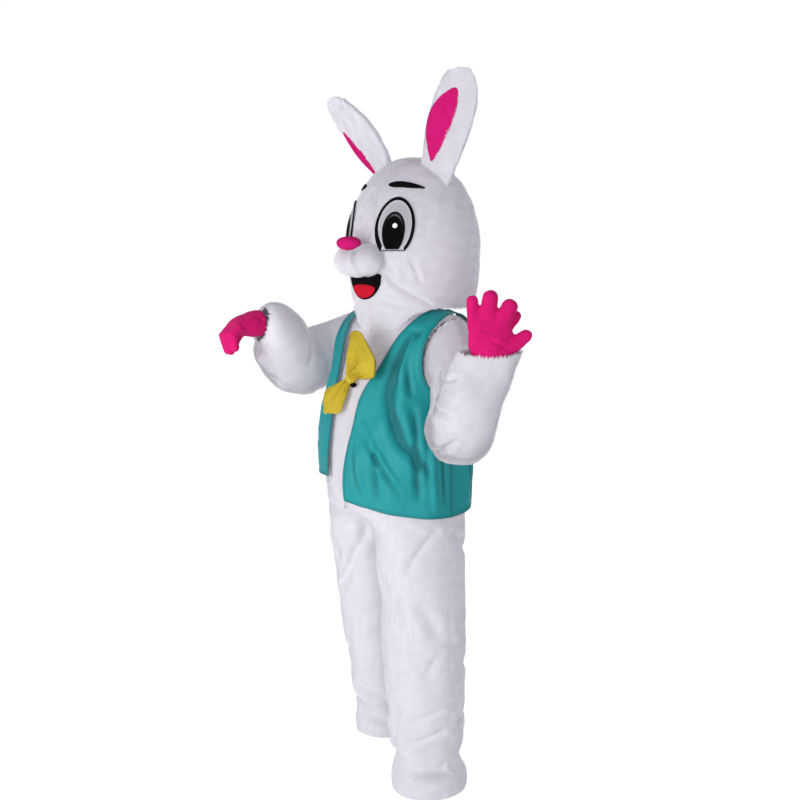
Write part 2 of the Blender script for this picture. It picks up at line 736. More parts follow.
# creases of each panel: w and height at both ends, width, depth
SUIT_CREASES = {
    ("front", LEFT): (
        (-0.09, -598, -0.285, -697, 9, 6), (-0.42, -690, -0.35, -871, 9, 5), (-0.9, -600, -0.62, -700, 10, 6),
        (-0.8, -640, -0.5, -760, 11, 5), (-0.105, -937, -0.185, -982, 10, 5),
        (-0.254, -1114, -0.071, -1090, 9, 5),
        (-0.36, -1188, -0.06, -1156, 10, 9), (-0.285, -1262, -0.02, -1256, 9, 7),
        (-0.6, -1215, -0.49, -1074, 10, 6),
        (-0.75, -1240, -0.4, -1225, 9, 6), (-0.95, -960, -0.75, -1010, 11, 4),
        (-0.5, -930, -0.36, -1010, 12, 4),
        (-0.9, -1130, -0.65, -1110, 10, 5), (-0.2, -800, -0.1, -880, 13, 4),
    ),
    ("front", RIGHT): (
        (-0.323, -600, -0.503, -706, 9, 7), (-0.9, -600, -0.62, -705, 10, 6),
        (-0.7, -690, -0.45, -800, 10, 5),
        (-0.1, -620, -0.24, -720, 10, 5), (-0.5, -900, -0.4, -1000, 12, 4),
        (-0.75, -1110, -0.45, -1090, 10, 6),
        (-0.5, -1160, -0.15, -1140, 10, 7), (-0.8, -1195, -0.5, -1180, 9, 6),
        (-0.3, -1000, -0.1, -970, 11, 5), (-0.2, -1205, -0.02, -1200, 9, 5),
    ),
    ("back", LEFT): (
        (0.9, -610, 0.5, -640, 12, 8), (0.7, -680, 0.35, -700, 11, 6), (0.12, -620, 0.4, -700, 11, 6),
        (0.35, -940, 0.7, -960, 12, 7), (0.25, -985, 0.55, -1000, 11, 6), (0.3, -1175, 0.75, -1190, 10, 8),
        (0.1, -1150, 0.4, -1120, 10, 6), (0.5, -1240, 0.9, -1225, 9, 6), (0.1, -850, 0.25, -900, 12, 4),
    ),
    ("back", RIGHT): (
        (0.9, -605, 0.5, -635, 12, 8), (0.65, -675, 0.3, -705, 11, 6), (0.12, -610, 0.38, -690, 11, 6),
        (0.3, -900, 0.68, -925, 12, 7), (0.3, -950, 0.6, -965, 11, 6), (0.3, -1110, 0.75, -1125, 10, 8),
        (0.1, -1080, 0.4, -1060, 10, 6), (0.4, -1190, 0.8, -1175, 9, 6), (0.75, -800, 0.6, -850, 12, 4),
    ),
}


def combed_down(points):
    """Nap of the jumpsuit: down the body and the legs."""
    return np.tile([0.0, 0, -1], (len(points), 1))


def build_suit_panel(side, hand, face):
    """One panel of the jumpsuit with its creases, and the pile on it."""
    w = np.linspace(-1 + TRIM, -TRIM, 64) if face == "front" else np.linspace(TRIM, 1 - TRIM, 64)
    s = np.linspace(HEM[side], -SEAM, 250)
    grid_s, grid_w = np.meshgrid(s, w, indexing="ij")
    surface = suit_point(side, face, grid_w, grid_s)
    leg = LEG[side](np.minimum(grid_s, -700))
    inside = xyz(side * mix(leg[..., 0], 90, ramp(grid_s, -760, -640)), leg[..., 1] + 8, surface[..., 2] - 4)
    normal = grid_normals(surface, inside)
    middle = (np.abs(np.abs(grid_w) - 1) < 0.02) & (grid_s > CROTCH)
    normal[..., 0] = np.where(middle, 0, normal[..., 0])
    normal = unit(normal)
    rows = [(*row[:-2], 1.45 * row[-2], 1.75 * row[-1]) for row in SUIT_CREASES[(face, side)]]
    sunk = sunk_by(surface, lambda u, v: suit_point(side, face, u, v), rows)
    rim = ramp(1 - np.abs(grid_w), 0, 0.05) * ramp(np.abs(grid_w), 0, 0.04)
    sunk = sunk * rim + 1.2 * ripple(surface, 85, 11) * rim
    reach = bpy.context.scene.costume_plush.reach * 1000
    outer = surface - normal * (reach + np.maximum(sunk, -1.5))[..., None]
    inner = outer - normal * 2.4
    name = f"suit_{face}_{hand}"
    obj = wall_object(f"{name}_cloth", outer, inner, plush_ground())
    place(obj, "white_plush", [name])
    flat_points = outer.reshape(-1, 3)
    faces = grid_faces(*outer.shape[:2])
    if dot(vertex_normals(flat_points, faces), normal.reshape(-1, 3)).mean() < 0:
        faces = faces[:, ::-1]
    under_vest = lambda p: np.where((p[:, 2] > -440) & (p[:, 2] < -90) & (np.abs(p[:, 0]) > 75), 0.35, 1.0)
    pile = pile_object(f"{name}_pile", flat_points, faces, combed_down, 112000, plush_pile(),
                       100 + 10 * side + len(face), keep=under_vest, span=(HEM[side], 9999))
    place(pile, "white_plush")


# ---- sleeves ---------------------------------------------------------------------------------
# t, out, back, up, radius, stretch, flat
SLEEVE = {
    LEFT: smooth_table([
        [0, 203, 27, -134, 92, 1, 1], [0.16, 262, -2, -180, 80, 1, 1], [0.34, 310, -42, -252, 81, 1, 1],
        [0.5, 326, -66, -306, 83, 1.03, 1], [0.64, 362, -88, -309, 83, 1.03, 1],
        [0.8, 386, -86, -238, 83, 1, 0.92], [0.92, 406, -66, -164, 83, 1, 0.6],
        [1, 424, -50, -106, 84, 1, 0.41],
    ]),
    RIGHT: smooth_table([
        [0, 203, 27, -134, 92, 1, 1], [0.16, 256, -6, -134, 87, 1, 1], [0.36, 284, -78, -166, 90, 1, 1],
        [0.55, 275, -140, -172, 93, 1, 1], [0.72, 260, -190, -136, 90, 1, 1],
        [0.86, 244, -232, -86, 83, 1, 1], [0.94, 238, -260, -64, 70, 1, 1], [1, 243, -284, -58, 52, 1, 1],
    ]),
}
HAND_BACK = {LEFT: np.array([0.766, -0.643, 0.05]), RIGHT: np.array([-0.12, -0.12, 1.0])}
CUFF_WAY = {LEFT: np.array([0.12, -0.1, 0.99]), RIGHT: np.array([-0.17, -0.96, 0.2])}

# creases of each sleeve: two ends in space, width, depth
SLEEVE_CREASES = {
    LEFT: (
        (312, -120, -352, 402, -150, -330, 9, 8), (330, -140, -250, 400, -160, -262, 9, 6),
        (300, 40, -250, 380, 10, -260, 10, 8), (260, 60, -200, 330, 40, -230, 10, 6),
        (260, -80, -160, 300, -110, -230, 9, 6), (370, -10, -200, 430, -20, -215, 9, 5),
        (350, -150, -180, 395, -150, -170, 8, 5),
    ),
    RIGHT: (
        (-262, -235, -80, -262, -150, -235, 10, 7), (-240, -70, -250, -300, -110, -250, 10, 7),
        (-340, -60, -110, -370, -110, -180, 10, 7), (-230, 20, -210, -290, -10, -230, 10, 6),
        (-330, -180, -80, -340, -150, -190, 10, 6), (-200, -140, -60, -190, -160, -170, 9, 6),
    ),
}


def arm_line(side, t):
    """Middle line of an arm in space."""
    return SLEEVE[side](t)[..., :3] * np.array([side, 1, 1])


def sleeve_rings(side, stations, around):
    """Rings about the arm's line: the armhole's own loop, fading into round rings with no twist."""
    start = arm_line(side, 0)
    across = unit(np.cross(arm_line(side, 0.45) - start, arm_line(side, 1) - arm_line(side, 0.55)))
    turn = 2 * np.pi * np.arange(around) / around
    front = armhole("front", turn)
    loop0 = np.where((turn <= np.pi)[:, None], front, armhole("back", 2 * np.pi - turn))
    up = np.array([0.0, 0, 1])
    rings, ways = [], []
    for t in stations:
        along = unit(arm_line(side, t + 0.01) - arm_line(side, t - 0.01))
        along = unit(mix(along, CUFF_WAY[side], ramp(t, 0.75, 1)))
        up = unit(up - along * dot(up, along))
        fore = np.cross(along, up) * side
        row = SLEEVE[side](t)
        out = (up * np.cos(turn)[:, None] + fore * np.sin(turn)[:, None]) * row[3]
        out = out + across * (dot(out, across) * (row[4] - 1))[:, None]
        out = out + HAND_BACK[side] * (dot(out, HAND_BACK[side]) * (row[5] - 1))[:, None]
        loop = (loop0 + [2 * SEAM, 0, 0]) * np.array([side, 1, 1]) + along * t * 260
        rings.append(mix(loop, arm_line(side, t) + out, ramp(t, 0, 0.3)))
        ways.append(along)
    return np.array(rings), np.array(ways)


ARMHOLE_LIP = 0.8  # the armhole's hole, as a part of its ring: the plush turns in around it


def build_sleeve(side, hand):
    """One sleeve: the skin of its rings, smoothed, creased and opened at the armhole and the cuff."""
    stations = np.linspace(0, 1, 44)
    rings, ways = sleeve_rings(side, stations, 56)
    skin = skin_arrays(rings, rings[0].mean(0), rings[-1].mean(0))
    points, faces = united([skin], 4.5)
    points = relax(points, faces, 7)
    normal = vertex_normals(points, faces)
    sunk = np.zeros(len(points))
    for row in SLEEVE_CREASES[side]:
        path = np.linspace(np.array(row[:3], float), np.array(row[3:6], float), 4)
        nearest = np.array([points[np.argmin(((points - p) ** 2).sum(1))] for p in path])
        sunk += fold_depth(points, nearest, row[6], row[7])
    reach = bpy.context.scene.costume_plush.reach * 1000
    points = points - normal * (reach + np.maximum(sunk, -1.5) + 1.2 * ripple(points, 70, 21))[:, None]
    centre, facing = points[faces].mean(1), normal[faces].mean(1)
    ends = np.zeros(len(faces), bool)
    for ring, way, out_to in ((rings[0], -ways[0], ARMHOLE_LIP), (rings[-1], ways[-1], 1)):
        middle = ring.mean(0)
        cap = mix(middle, ring[None], np.linspace(0, out_to, 26)[:, None, None]).reshape(-1, 3)
        pick = np.flatnonzero((dot(facing, way) > 0.35) & (dot(centre - middle, way) > -45))
        apart = np.array([((cap - p) ** 2).sum(1).min() for p in centre[pick] + facing[pick] * reach])
        ends[pick[apart < 6.5**2]] = True
    faces = faces[~ends]
    used = np.unique(faces)
    renumber = np.zeros(len(points), int)
    renumber[used] = np.arange(len(used))
    points, faces = points[used], renumber[faces]
    name = f"sleeve_{hand}"
    obj = new_mesh(f"{name}_cloth", points, faces, plush_ground(), weld=False)
    wall = obj.modifiers.new("wall", "SOLIDIFY")
    wall.thickness = 0.0024
    wall.offset = -1
    place(obj, "white_plush", [name])
    line = arm_line(side, stations)

    def combed(p):
        """Nap of a sleeve: along the arm towards the hand."""
        return ways[((p[:, None, :] - line[None]) ** 2).sum(-1).argmin(1)]

    pile = pile_object(f"{name}_pile", points, faces, combed, 82000, plush_pile(), 200 + side)
    place(pile, "white_plush")


# ---- vest ------------------------------------------------------------------------------------
OPENING = {
    LEFT: smooth_table([[-570, 14], [-480, 16], [-415, 24], [-330, 37], [-243, 46], [-165, 80], [-103, 106],
                        [-50, 128], [0, 140]]),
    RIGHT: smooth_table([[-520, 52], [-450, 52], [-415, 53], [-330, 58], [-243, 64], [-165, 76], [-103, 93],
                         [-50, 110], [0, 120]]),
}
VEST_HEM = {LEFT: (-524, -566), RIGHT: (-468, -484)}
VEST_HEM_BACK = -545
VEST_UNDERARM = -350
VEST_EASE = 9
UNDERARM_ROUNDS, UNDERARM_BAND = 45, 34  # the cloth is smoothed in a band about the armhole's foot
SIDE_LAP = 0.012  # how far a front laps over the back at the side seam, as a part of the quarter girth
SATIN_THICK = 1.6

# side, face, w, height, how high, how wide, rise, lean
VEST_FOLDS = (
    (LEFT, "front", 0.62, -330, 150, 0.1, 12, -0.0016), (LEFT, "front", 0.4, -430, 150, 0.12, 9, -0.0012),
    (LEFT, "front", 0.16, -480, 120, 0.12, 12, 0), (LEFT, "front", 0.8, -460, 120, 0.09, 6, 0),
    (RIGHT, "front", 0.4, -360, 160, 0.2, 19, 0.0006), (RIGHT, "front", 0.06, -400, 120, 0.1, 8, 0),
    (LEFT, "back", 0.3, -440, 160, 0.12, 11, 0.0006), (LEFT, "back", 0.68, -400, 170, 0.12, 9, -0.0005),
    (RIGHT, "back", 0.4, -420, 160, 0.13, 11, 0.0005), (RIGHT, "back", 0.78, -440, 150, 0.1, 8, 0),
)
# the right front's cut is from before its opening edge was moved, and is too small
VEST_CUT = {
    "vest_front_left": (0.36, 0.58, 0.13), "vest_front_right": (0.28, 0.5, 0.09),
    "vest_back": (0.6, 0.58, 0.29),
}

# fine creases of each vest panel: u and v at two or more stops, width, depth (less than 0 is a ridge)
VEST_CREASES = {
    "vest_front_left": (
        (0.34, 0.86, 0.3, 0.72, 0.34, 0.56, 0.5, 0.36, 0.8, 0.22, 15, 9),
        (0.48, 0.84, 0.47, 0.7, 0.52, 0.56, 9, -4),
        (0.12, 0.4, 0.5, 0.16, 7, -4), (0.16, 0.36, 0.54, 0.1, 8, 4), (0.62, 0.5, 0.7, 0.1, 10, 6),
        (0.78, 0.45, 0.84, 0.05, 9, -5), (0.9, 0.4, 0.94, 0.08, 8, 5), (0.05, 0.3, 0.2, 0.05, 8, 4),
        (0.5, 0.9, 0.62, 0.62, 8, 5), (0.7, 0.9, 0.75, 0.72, 7, 3), (0.3, 0.3, 0.34, 0.04, 8, 4),
    ),
    "vest_front_right": (
        (0.25, 0.8, 0.3, 0.5, 0.28, 0.3, 8, 5), (0.5, 0.6, 0.45, 0.2, 9, 6), (0.7, 0.5, 0.68, 0.1, 8, -4),
        (0.85, 0.4, 0.82, 0.05, 8, 5), (0.12, 0.5, 0.15, 0.1, 7, 4), (0.5, 0.92, 0.45, 0.75, 8, 4),
    ),
    "vest_back": (
        (0.12, 0.5, 0.15, 0.05, 9, 6), (0.25, 0.7, 0.22, 0.2, 9, -4), (0.36, 0.55, 0.4, 0.08, 10, 6),
        (0.5, 0.6, 0.48, 0.1, 10, -4), (0.62, 0.5, 0.6, 0.06, 9, 6), (0.76, 0.7, 0.8, 0.2, 9, 5),
        (0.9, 0.5, 0.86, 0.06, 9, -5), (0.3, 0.93, 0.5, 0.86, 0.7, 0.93, 9, 4),
        (0.35, 0.8, 0.5, 0.75, 0.65, 0.8, 10, 4),
    ),
}


def girth_at(face, s, distance):
    """Girth parameter at which the jumpsuit is a given distance from the middle."""
    inner, outer = inner_edge(face, s)[..., 0], outer_edge(face, s)[..., 0]
    part = np.clip((distance - inner) / (outer - inner), 0.0001, 1)
    return np.arccos(part ** (1 / TORSO(s)[..., 4])) / (np.pi / 2)


def vest_outer(s, hang):
    """Girth parameter of the vest's side seam, and above it of its armhole."""
    climb = np.clip((s - VEST_UNDERARM) / -VEST_UNDERARM, 0, 1)
    return hang + 0.085 * np.sin(np.pi * climb) ** 1.1 + 0.015 * climb


def surface_normal(surface, u, v, outward):
    """Outward normal by small steps along the two measures of a surface."""
    step = 1e-3
    du = surface(u + step, v) - surface(u - step, v)
    dv = surface(u, v + step) - surface(u, v - step)
    return unit(np.cross(du, dv)) * outward


def vest_point(side, face, w, s):
    """Jumpsuit's own points moved out: the vest's ease, a flare to the hem and its drape folds."""
    out = VEST_EASE + 3 * ramp(-s, 300, 560) - 4 * ramp(s, -120, -30)
    for which, panel, fold_w, z, tall, wide, rise, lean in VEST_FOLDS:
        if which == side and panel == face:
            out = out + rise * bump(s, z, tall) * bump(w, fold_w + lean * (s - z), wide)
    turn = -w if face == "front" else w
    normal = surface_normal(lambda a, b: suit_point(side, face, a, b), turn, s, side)
    normal[..., 1] *= 1 - ramp(s, -14, -SEAM)
    normal[..., 0] = np.where(w > 0.99, 0, normal[..., 0])
    return suit_point(side, face, turn, s) + unit(normal) * (out + SATIN_THICK)[..., None]


def vest_front(side):
    """Surface of one front, from its open edge to the side seam and from the hem to the shoulder."""
    def surface(u, v):
        """Place on the front for two parts from 0 to 1."""
        middle, at_side = VEST_HEM[side]
        s = mix(mix(middle, at_side, ease(np.clip(u, 0, 1)) ** 0.7), -SEAM, v)
        inner = girth_at("front", s, OPENING[side](s)[..., 0])
        return vest_point(side, "front", mix(inner, vest_outer(s, -SIDE_LAP), u), s)
    return surface


def vest_back_half(side):
    """Surface of half of the back; u runs on from side seam to side seam."""
    def surface(u, v):
        """Place on the half for two parts from 0 to 1."""
        half = np.abs(1 - 2 * u)
        top = mix(-76, -SEAM, ramp(half, 0.25, 0.62))
        s = mix(mix(VEST_HEM[side][1], VEST_HEM_BACK, ramp(1 - half, 0, 0.5)), top, v)
        return vest_point(side, "back", mix(vest_outer(s, TRIM), 1, 1 - half), s)
    return surface


def vest_back(u, v):
    """Surface of the whole back, left side first."""
    u, v = np.broadcast_arrays(np.asarray(u, float), np.asarray(v, float))
    left, right = vest_back_half(LEFT)(u, v), vest_back_half(RIGHT)(u, v)
    return np.where((u < 0.5)[..., None], left, right)


def edge_distance(points):
    """Shortest way along a grid's rows and columns to its border."""
    def ways(axis):
        """Way from the first and from the last line of the grid along one axis."""
        step = np.linalg.norm(np.diff(points, axis=axis), axis=-1)
        run = np.cumsum(step, axis=axis)
        zero = np.zeros_like(np.take(points[..., 0], [0], axis=axis))
        run = np.concatenate([zero, run], axis=axis)
        last = np.take(run, [-1], axis=axis)
        return run, last - run
    return ways(1), ways(0)


def stitch_object(name, lines, material, pitch, gap=0.35, radius=0.45):
    """Row of stitches on a line of points: short spindles that dip into the cloth at both ends."""
    points, faces, start = [], [], 0
    for line, normal in lines:
        step = np.linalg.norm(np.diff(line, axis=0), axis=1)
        run = np.concatenate([[0], np.cumsum(step)])
        count = int(run[-1] / pitch)
        if count < 2:
            continue
        ends = np.arange(count) * pitch
        t = np.array([0.02, 0.25, 0.5, 0.75, 0.98]) * (1 - gap)
        at = ends[:, None] + t * pitch
        centre = np.stack([np.interp(at, run, line[:, k]) for k in range(3)], -1)
        out = unit(np.stack([np.interp(at, run, normal[:, k]) for k in range(3)], -1))
        along = unit(centre[:, -1:] - centre[:, :1])
        side = unit(np.cross(out, along))
        lift = np.array([-0.5, 0.35, 0.6, 0.35, -0.5]) * radius * 1.6
        thick = np.array([0.5, 1, 1.05, 1, 0.5]) * radius
        turn = 2 * np.pi * np.arange(5) / 5
        ring = (side[:, :, None] * np.cos(turn)[:, None] + out[:, :, None] * np.sin(turn)[:, None])
        shape = (centre + out * lift[:, None])[:, :, None] + ring * thick[:, None, None]
        one = grid_faces(5, 5, ring=True)
        base = np.arange(count)[:, None, None] * 25 + start
        faces.append((one[None] + base).reshape(-1, 4))
        points.append(shape.reshape(-1, 3))
        start += count * 25
    return new_mesh(name, np.concatenate(points), np.concatenate(faces), material, weld=False)


def build_vest_panel(name, surface, inside, us, vs, hems):
    """One panel of the vest: drape, fine creases, a turned hem and its row of stitches."""
    vest = bpy.context.scene.costume_vest
    grid_v, grid_u = np.meshgrid(np.linspace(0, 1, vs), np.linspace(0, 1, us), indexing="ij")
    points = surface(grid_u, grid_v)
    for _ in range(UNDERARM_ROUNDS):
        near = 0.5 * bump(points[1:-1, :, 2:], UNDERARM, UNDERARM_BAND)
        points[1:-1] = mix(points[1:-1], (points[:-2] + points[2:]) / 2, near)
    normal = grid_normals(points, inside(points))
    (from_left, to_right), (from_low, to_top) = edge_distance(points)
    hem = np.full(points.shape[:2], 1e3)
    for edge, run in zip(("left", "right", "low", "top"), (from_left, to_right, from_low, to_top)):
        if edge in hems:
            hem = np.minimum(hem, run)
    width = vest.hem_width * 1000
    creased = sunk_by(points, surface, VEST_CREASES[name])
    free = ramp(from_left, 0, 22) * ramp(to_right, 0, 22) * ramp(to_top, 0, 25)
    creased = np.clip(1.5 * creased, -7, 7.5) * mix(0.35, 1, free)
    lapped = 1.3 * (1 - ramp(to_right, 0, 30)) if "front" in name else 0
    wave = 0.5 * ripple(points, 60, 31) + 0.3 * ripple(points, 24, 32)
    turned = 0.7 * (1 - ramp(hem, width - 0.6, width + 0.6)) - 0.5 * bump(hem, width, 0.9)
    outer = points + normal * (0.2 + turned - creased + wave * ramp(hem, 0, 30) + lapped)[..., None]
    inner = outer - normal * (1.1 + 0.5 * (1 - ramp(hem, width, width + 1)))[..., None]
    obj = wall_object(f"{name}_cloth", outer, inner, satin())
    place(obj, "teal_satin", [name])
    level = (mix(0.25, 1.0, ramp(hem, 1.0, 4.5)) * (1 - 0.35 * bump(hem, width, 1.1))
             * (1 - 0.6 * ramp(creased, 1.5, 7.5))).ravel()
    set_values(obj, "inner", np.concatenate([level, level * 0.75]))
    lines = []
    inset = width * 0.8
    for edge in hems:
        run = {"left": from_left, "right": to_right, "low": from_low, "top": to_top}[edge]
        pick = np.abs(run - inset).argmin(1 if edge in ("left", "right") else 0)
        if edge in ("left", "right"):
            line, out = outer[np.arange(vs), pick], normal[np.arange(vs), pick]
        else:
            line, out = outer[pick, np.arange(us)], normal[pick, np.arange(us)]
        lines.append((line[2:-2], out[2:-2]))
    stitches = stitch_object(f"{name}_stitches", lines, thread(), vest.stitch_pitch * 1000)
    place(stitches, "teal_satin")
    if "front" in name:
        around, sides = 30, 6
        turn = (2 * np.pi * np.arange(around) / around)[:, None, None]
        section = (2 * np.pi * np.arange(sides) / sides)[None, :, None]
        way = np.sin(turn) * [1.0, 0.2, 0] + np.cos(turn) * [0, 0, 1.0]
        tube = 0.7 * (way * np.cos(section) + [0, -1, 0] * np.sin(section))
        loop = outer[0, 2] + [1, -1, -8] + way * [4.5, 4.5, 9] + tube
        ring = grid_faces(around, sides, ring=True)
        first = np.arange(sides)
        after, last = (first + 1) % sides, (around - 1) * sides
        close = np.stack([first + last, first, after, last + after], -1)
        thread_loop = new_mesh(f"{name}_thread", loop.reshape(-1, 3), np.concatenate([ring, close]),
                               grey_thread())
        place(thread_loop, "teal_satin")
    width, length, area = VEST_CUT[name]
    return outer, normal


# ---- head ------------------------------------------------------------------------------------
HEAD_TOP, HEAD_WIDEST, HEAD_HALF_WIDTH, HEAD_HALF_DEPTH, HEAD_X, HEAD_Y = 398, 150, 181, 184, 10, 57
FOAM = 13
CHIN_HANG = 24  # how far the plush of the chin hangs below its foam


def head_profile(z):
    """Half girth at a height as a part of the widest: a super-ellipse above, a slow taper below."""
    part = np.clip((z - HEAD_WIDEST) / (HEAD_TOP - HEAD_WIDEST), 0, 1)
    return np.where(z > HEAD_WIDEST, np.maximum(1 - part**2.06, 0) ** (1 / 2.06),
                    1 - 0.125 * ((HEAD_WIDEST - z) / 190) ** 2)


def head_rim(turn):
    """Height of the head's lower rim, lowest under the chin."""
    return mix(-2.8 - 3.2 * np.sin(turn), -40, ramp(np.cos(turn), 0.35, 1))


def on_head(turn, z, out):
    """Point of the head's egg by its turn from the front and its height, moved out along the normal."""
    turn, z, out = np.broadcast_arrays(np.asarray(turn, float), np.asarray(z, float), np.asarray(out, float))
    k = head_profile(z)
    slope = np.clip(head_profile(z + 0.5) - head_profile(z - 0.5), -0.4, 0.4)
    normal = unit(xyz(np.sin(turn), -np.cos(turn), -slope * HEAD_HALF_WIDTH))
    crown = (z >= HEAD_TOP - 0.6)[..., None]
    normal = np.where(crown, np.array([0.0, 0, 1]), normal)
    point = xyz(HEAD_X + HEAD_HALF_WIDTH * k * np.sin(turn), HEAD_Y - HEAD_HALF_DEPTH * k * np.cos(turn), z)
    return point + normal * out[..., None]


# soft folds of the head: turn in degrees and height at each stop, width, depth
HEAD_CREASES = (
    (2.9, 308, 8.5, 265, 10.4, 230, 9.7, 206, 5.5, 182, 6, 8),
    (19, 150, 21, 122, 24, 88, 29, 62, 41.7, 38, 63.8, 4, 8, 9),
    (15, 132, 18, 108, 20, 78, 6, 5),
    (26, 118, 31, 92, 34, 70, 7, 4),
    (48, 118, 52, 84, 54, 64, 7, 4),
    (18, 12, 34, 2, 52, -2, 7, 4),
    (66, 250, 60, 210, 58, 180, 14, 3),
    (120, 120, 128, 70, 130, 30, 16, 4),
)


def combed_face(p):
    """Nap of the head: down and back from the face, and a little outwards over the cheeks."""
    away = p - np.array([HEAD_X, HEAD_Y - 60, HEAD_WIDEST])
    return unit(np.stack([0.35 * np.sign(away[:, 0]) * np.minimum(np.abs(away[:, 0]) / 60, 1),
                          0.35 + 0 * away[:, 1], -1 + 0 * away[:, 2]], -1))


def build_head_half(side, hand):
    """Half of the head shell with its plush face relief, and the pile on it."""
    u = np.linspace(0, 1, 110)
    v = 1 - (1 - np.linspace(0, 1, 120)) ** 1.35
    grid_v, grid_u = np.meshgrid(v, u, indexing="ij")
    turn = side * np.pi * grid_u
    z = mix(head_rim(turn) - CHIN_HANG * ramp(np.cos(turn), 0.66, 0.9), HEAD_TOP - 0.01, grid_v)
    surface = on_head(turn, z, 0)
    rows = [[k * side if i % 2 == 0 and i < len(row) - 2 else k for i, k in enumerate(row)]
            for row in HEAD_CREASES]
    sunk = sunk_by(surface, lambda a, b: on_head(np.radians(a), b, 0), rows)
    sunk = sunk + (1.0 * ripple(surface, 60, 41) - 1.0) * ramp(grid_v, 0, 0.06)
    sunk = sunk * ramp(1 - np.abs(2 * grid_u - 1), 0, 0.012) * (1 - ramp(grid_v, 0.97, 1))
    reach = bpy.context.scene.costume_plush.reach * 1000
    outer = on_head(turn, z, -reach - np.clip(sunk, -2, 9))
    inner = on_head(turn, z, -FOAM)
    for grid, depth in ((outer, reach), (inner, FOAM)):
        grid[..., 0] += side * SEAM / 2
        grid[:, 0, 0] = grid[:, -1, 0] = HEAD_X + side * SEAM / 2
        grid[-1] = (HEAD_X + side * SEAM / 2, HEAD_Y, HEAD_TOP - depth)
    name = f"head_{hand}"
    obj = wall_object(f"{name}_cloth", outer, inner, plush_ground())
    place(obj, "white_plush", [name])
    points = outer.reshape(-1, 3)
    faces = grid_faces(*outer.shape[:2])
    if dot(vertex_normals(points, faces), points - np.array([HEAD_X, HEAD_Y, 150])).mean() < 0:
        faces = faces[:, ::-1]
    pile = pile_object(f"{name}_pile", points, faces, combed_face, 82000, plush_pile(), 300 + side,
                       keep=off_the_face, length=13.0)
    place(pile, "white_plush")


EYE = {"turn": math.radians(33), "z": 206, "half": 54, "above": 74, "below": 82, "foot": 66, "lean": 0.07}
PUPIL = {"turn": math.radians(32.5), "z": 196, "half": 31, "above": 46, "below": 62, "foot": 52, "lean": 0.05}
BROW = {"turn": math.radians(41), "z": 310, "half": 50}
MOUTH = {"turn": math.radians(-1.5), "z": 76}
TONGUE = {"turn": math.radians(-1.5), "z": 44}
MUZZLE_OUT, MUZZLE_Y, MUZZLE_Z, MUZZLE_HALF = 33, -136, 116, np.array([45.0, 50, 43])
NOSE = {"centre": np.array([HEAD_X, -171.0, 161.0]), "half": np.array([40.0, 28, 18])}


def off_the_face(p):
    """1 where pile grows, 0 under the eyes, the mouth and the muzzle."""
    turn = np.arctan2((p[:, 0] - HEAD_X) / HEAD_HALF_WIDTH, -(p[:, 1] - HEAD_Y) / HEAD_HALF_DEPTH)
    z = p[:, 2]
    out = np.ones(len(p))
    du = (np.abs(turn) - EYE["turn"]) * HEAD_HALF_WIDTH - EYE["lean"] * (z - EYE["z"])
    dz = z - EYE["z"]
    rise = np.where(dz > 0, EYE["above"], EYE["below"])
    out[((du / EYE["half"]) ** 2 + (dz / rise) ** 2 < 0.9) & (dz > 3 - EYE["foot"])] = 0
    du = (turn - MOUTH["turn"]) * HEAD_HALF_WIDTH
    dz = z - MOUTH["z"]
    rise = np.where(dz > 0, 10, 64)
    out[(du / 68) ** 2 + (dz / rise) ** 2 < 0.9] = 0
    return out


def egg_outline(shape):
    """Egg of a half width and heights above and below its centre, cut to a flat foot, leaning."""
    def at(t):
        """Side and height at a part of the way round."""
        turn = 2 * np.pi * t
        rise = np.where(np.cos(turn) > 0, shape["above"], shape["below"])
        dz = np.maximum(rise * np.cos(turn), -shape["foot"])
        return shape["half"] * np.sin(turn) + shape["lean"] * dz, dz
    return at


def bowl_outline(half, foot, top):
    """Half round bowl of a half width, a depth and a low top."""
    def at(t):
        """Side and height at a part of the way round."""
        turn = 2 * np.pi * t
        return half * np.sin(turn), np.where(np.cos(turn) > 0, top, foot) * np.cos(turn)
    return at


def plate_rings(centre_turn, centre_z, outline, parts, outs, sides=120, side=1):
    """Rings on the head about a centre: each a part of the outline's size, at a distance off it."""
    t = np.arange(sides) / sides
    du, dz = outline(t)
    return np.array([
        on_head(side * centre_turn + side * du * part / HEAD_HALF_WIDTH / head_profile(centre_z),
                centre_z + dz * part, out)
        for part, out in zip(parts, outs)
    ])


def face_plate(name, centre_turn, centre_z, outline, low, high, dome, material, side=1, sides=120, edge=1.0):
    """Pad on the head: a rounded edge and a low dome over an outline."""
    top = np.array([1.0, 0.97, 0.93, 0.88, 0.8, 0.7, 0.58, 0.44, 0.3, 0.15])
    parts = np.concatenate([[0.3, 0.65, 0.95, 1.0], top[1:]])
    rounded = 1 - np.sqrt(np.clip(1 - ((top - 0.93) / 0.07).clip(0) ** 2, 0, 1))
    lift = high + dome * (1 - top**2) - edge * rounded
    outs = np.concatenate([[low, low, low, high - edge], lift[1:]])
    rings = plate_rings(centre_turn, centre_z, outline, parts, outs, sides, side)
    first = on_head(side * centre_turn, centre_z, low)
    last = on_head(side * centre_turn, centre_z, high + dome)
    obj = skin_object(name, rings, first, last, material)
    return obj, np.concatenate([np.repeat(parts, sides), [0, 0]])


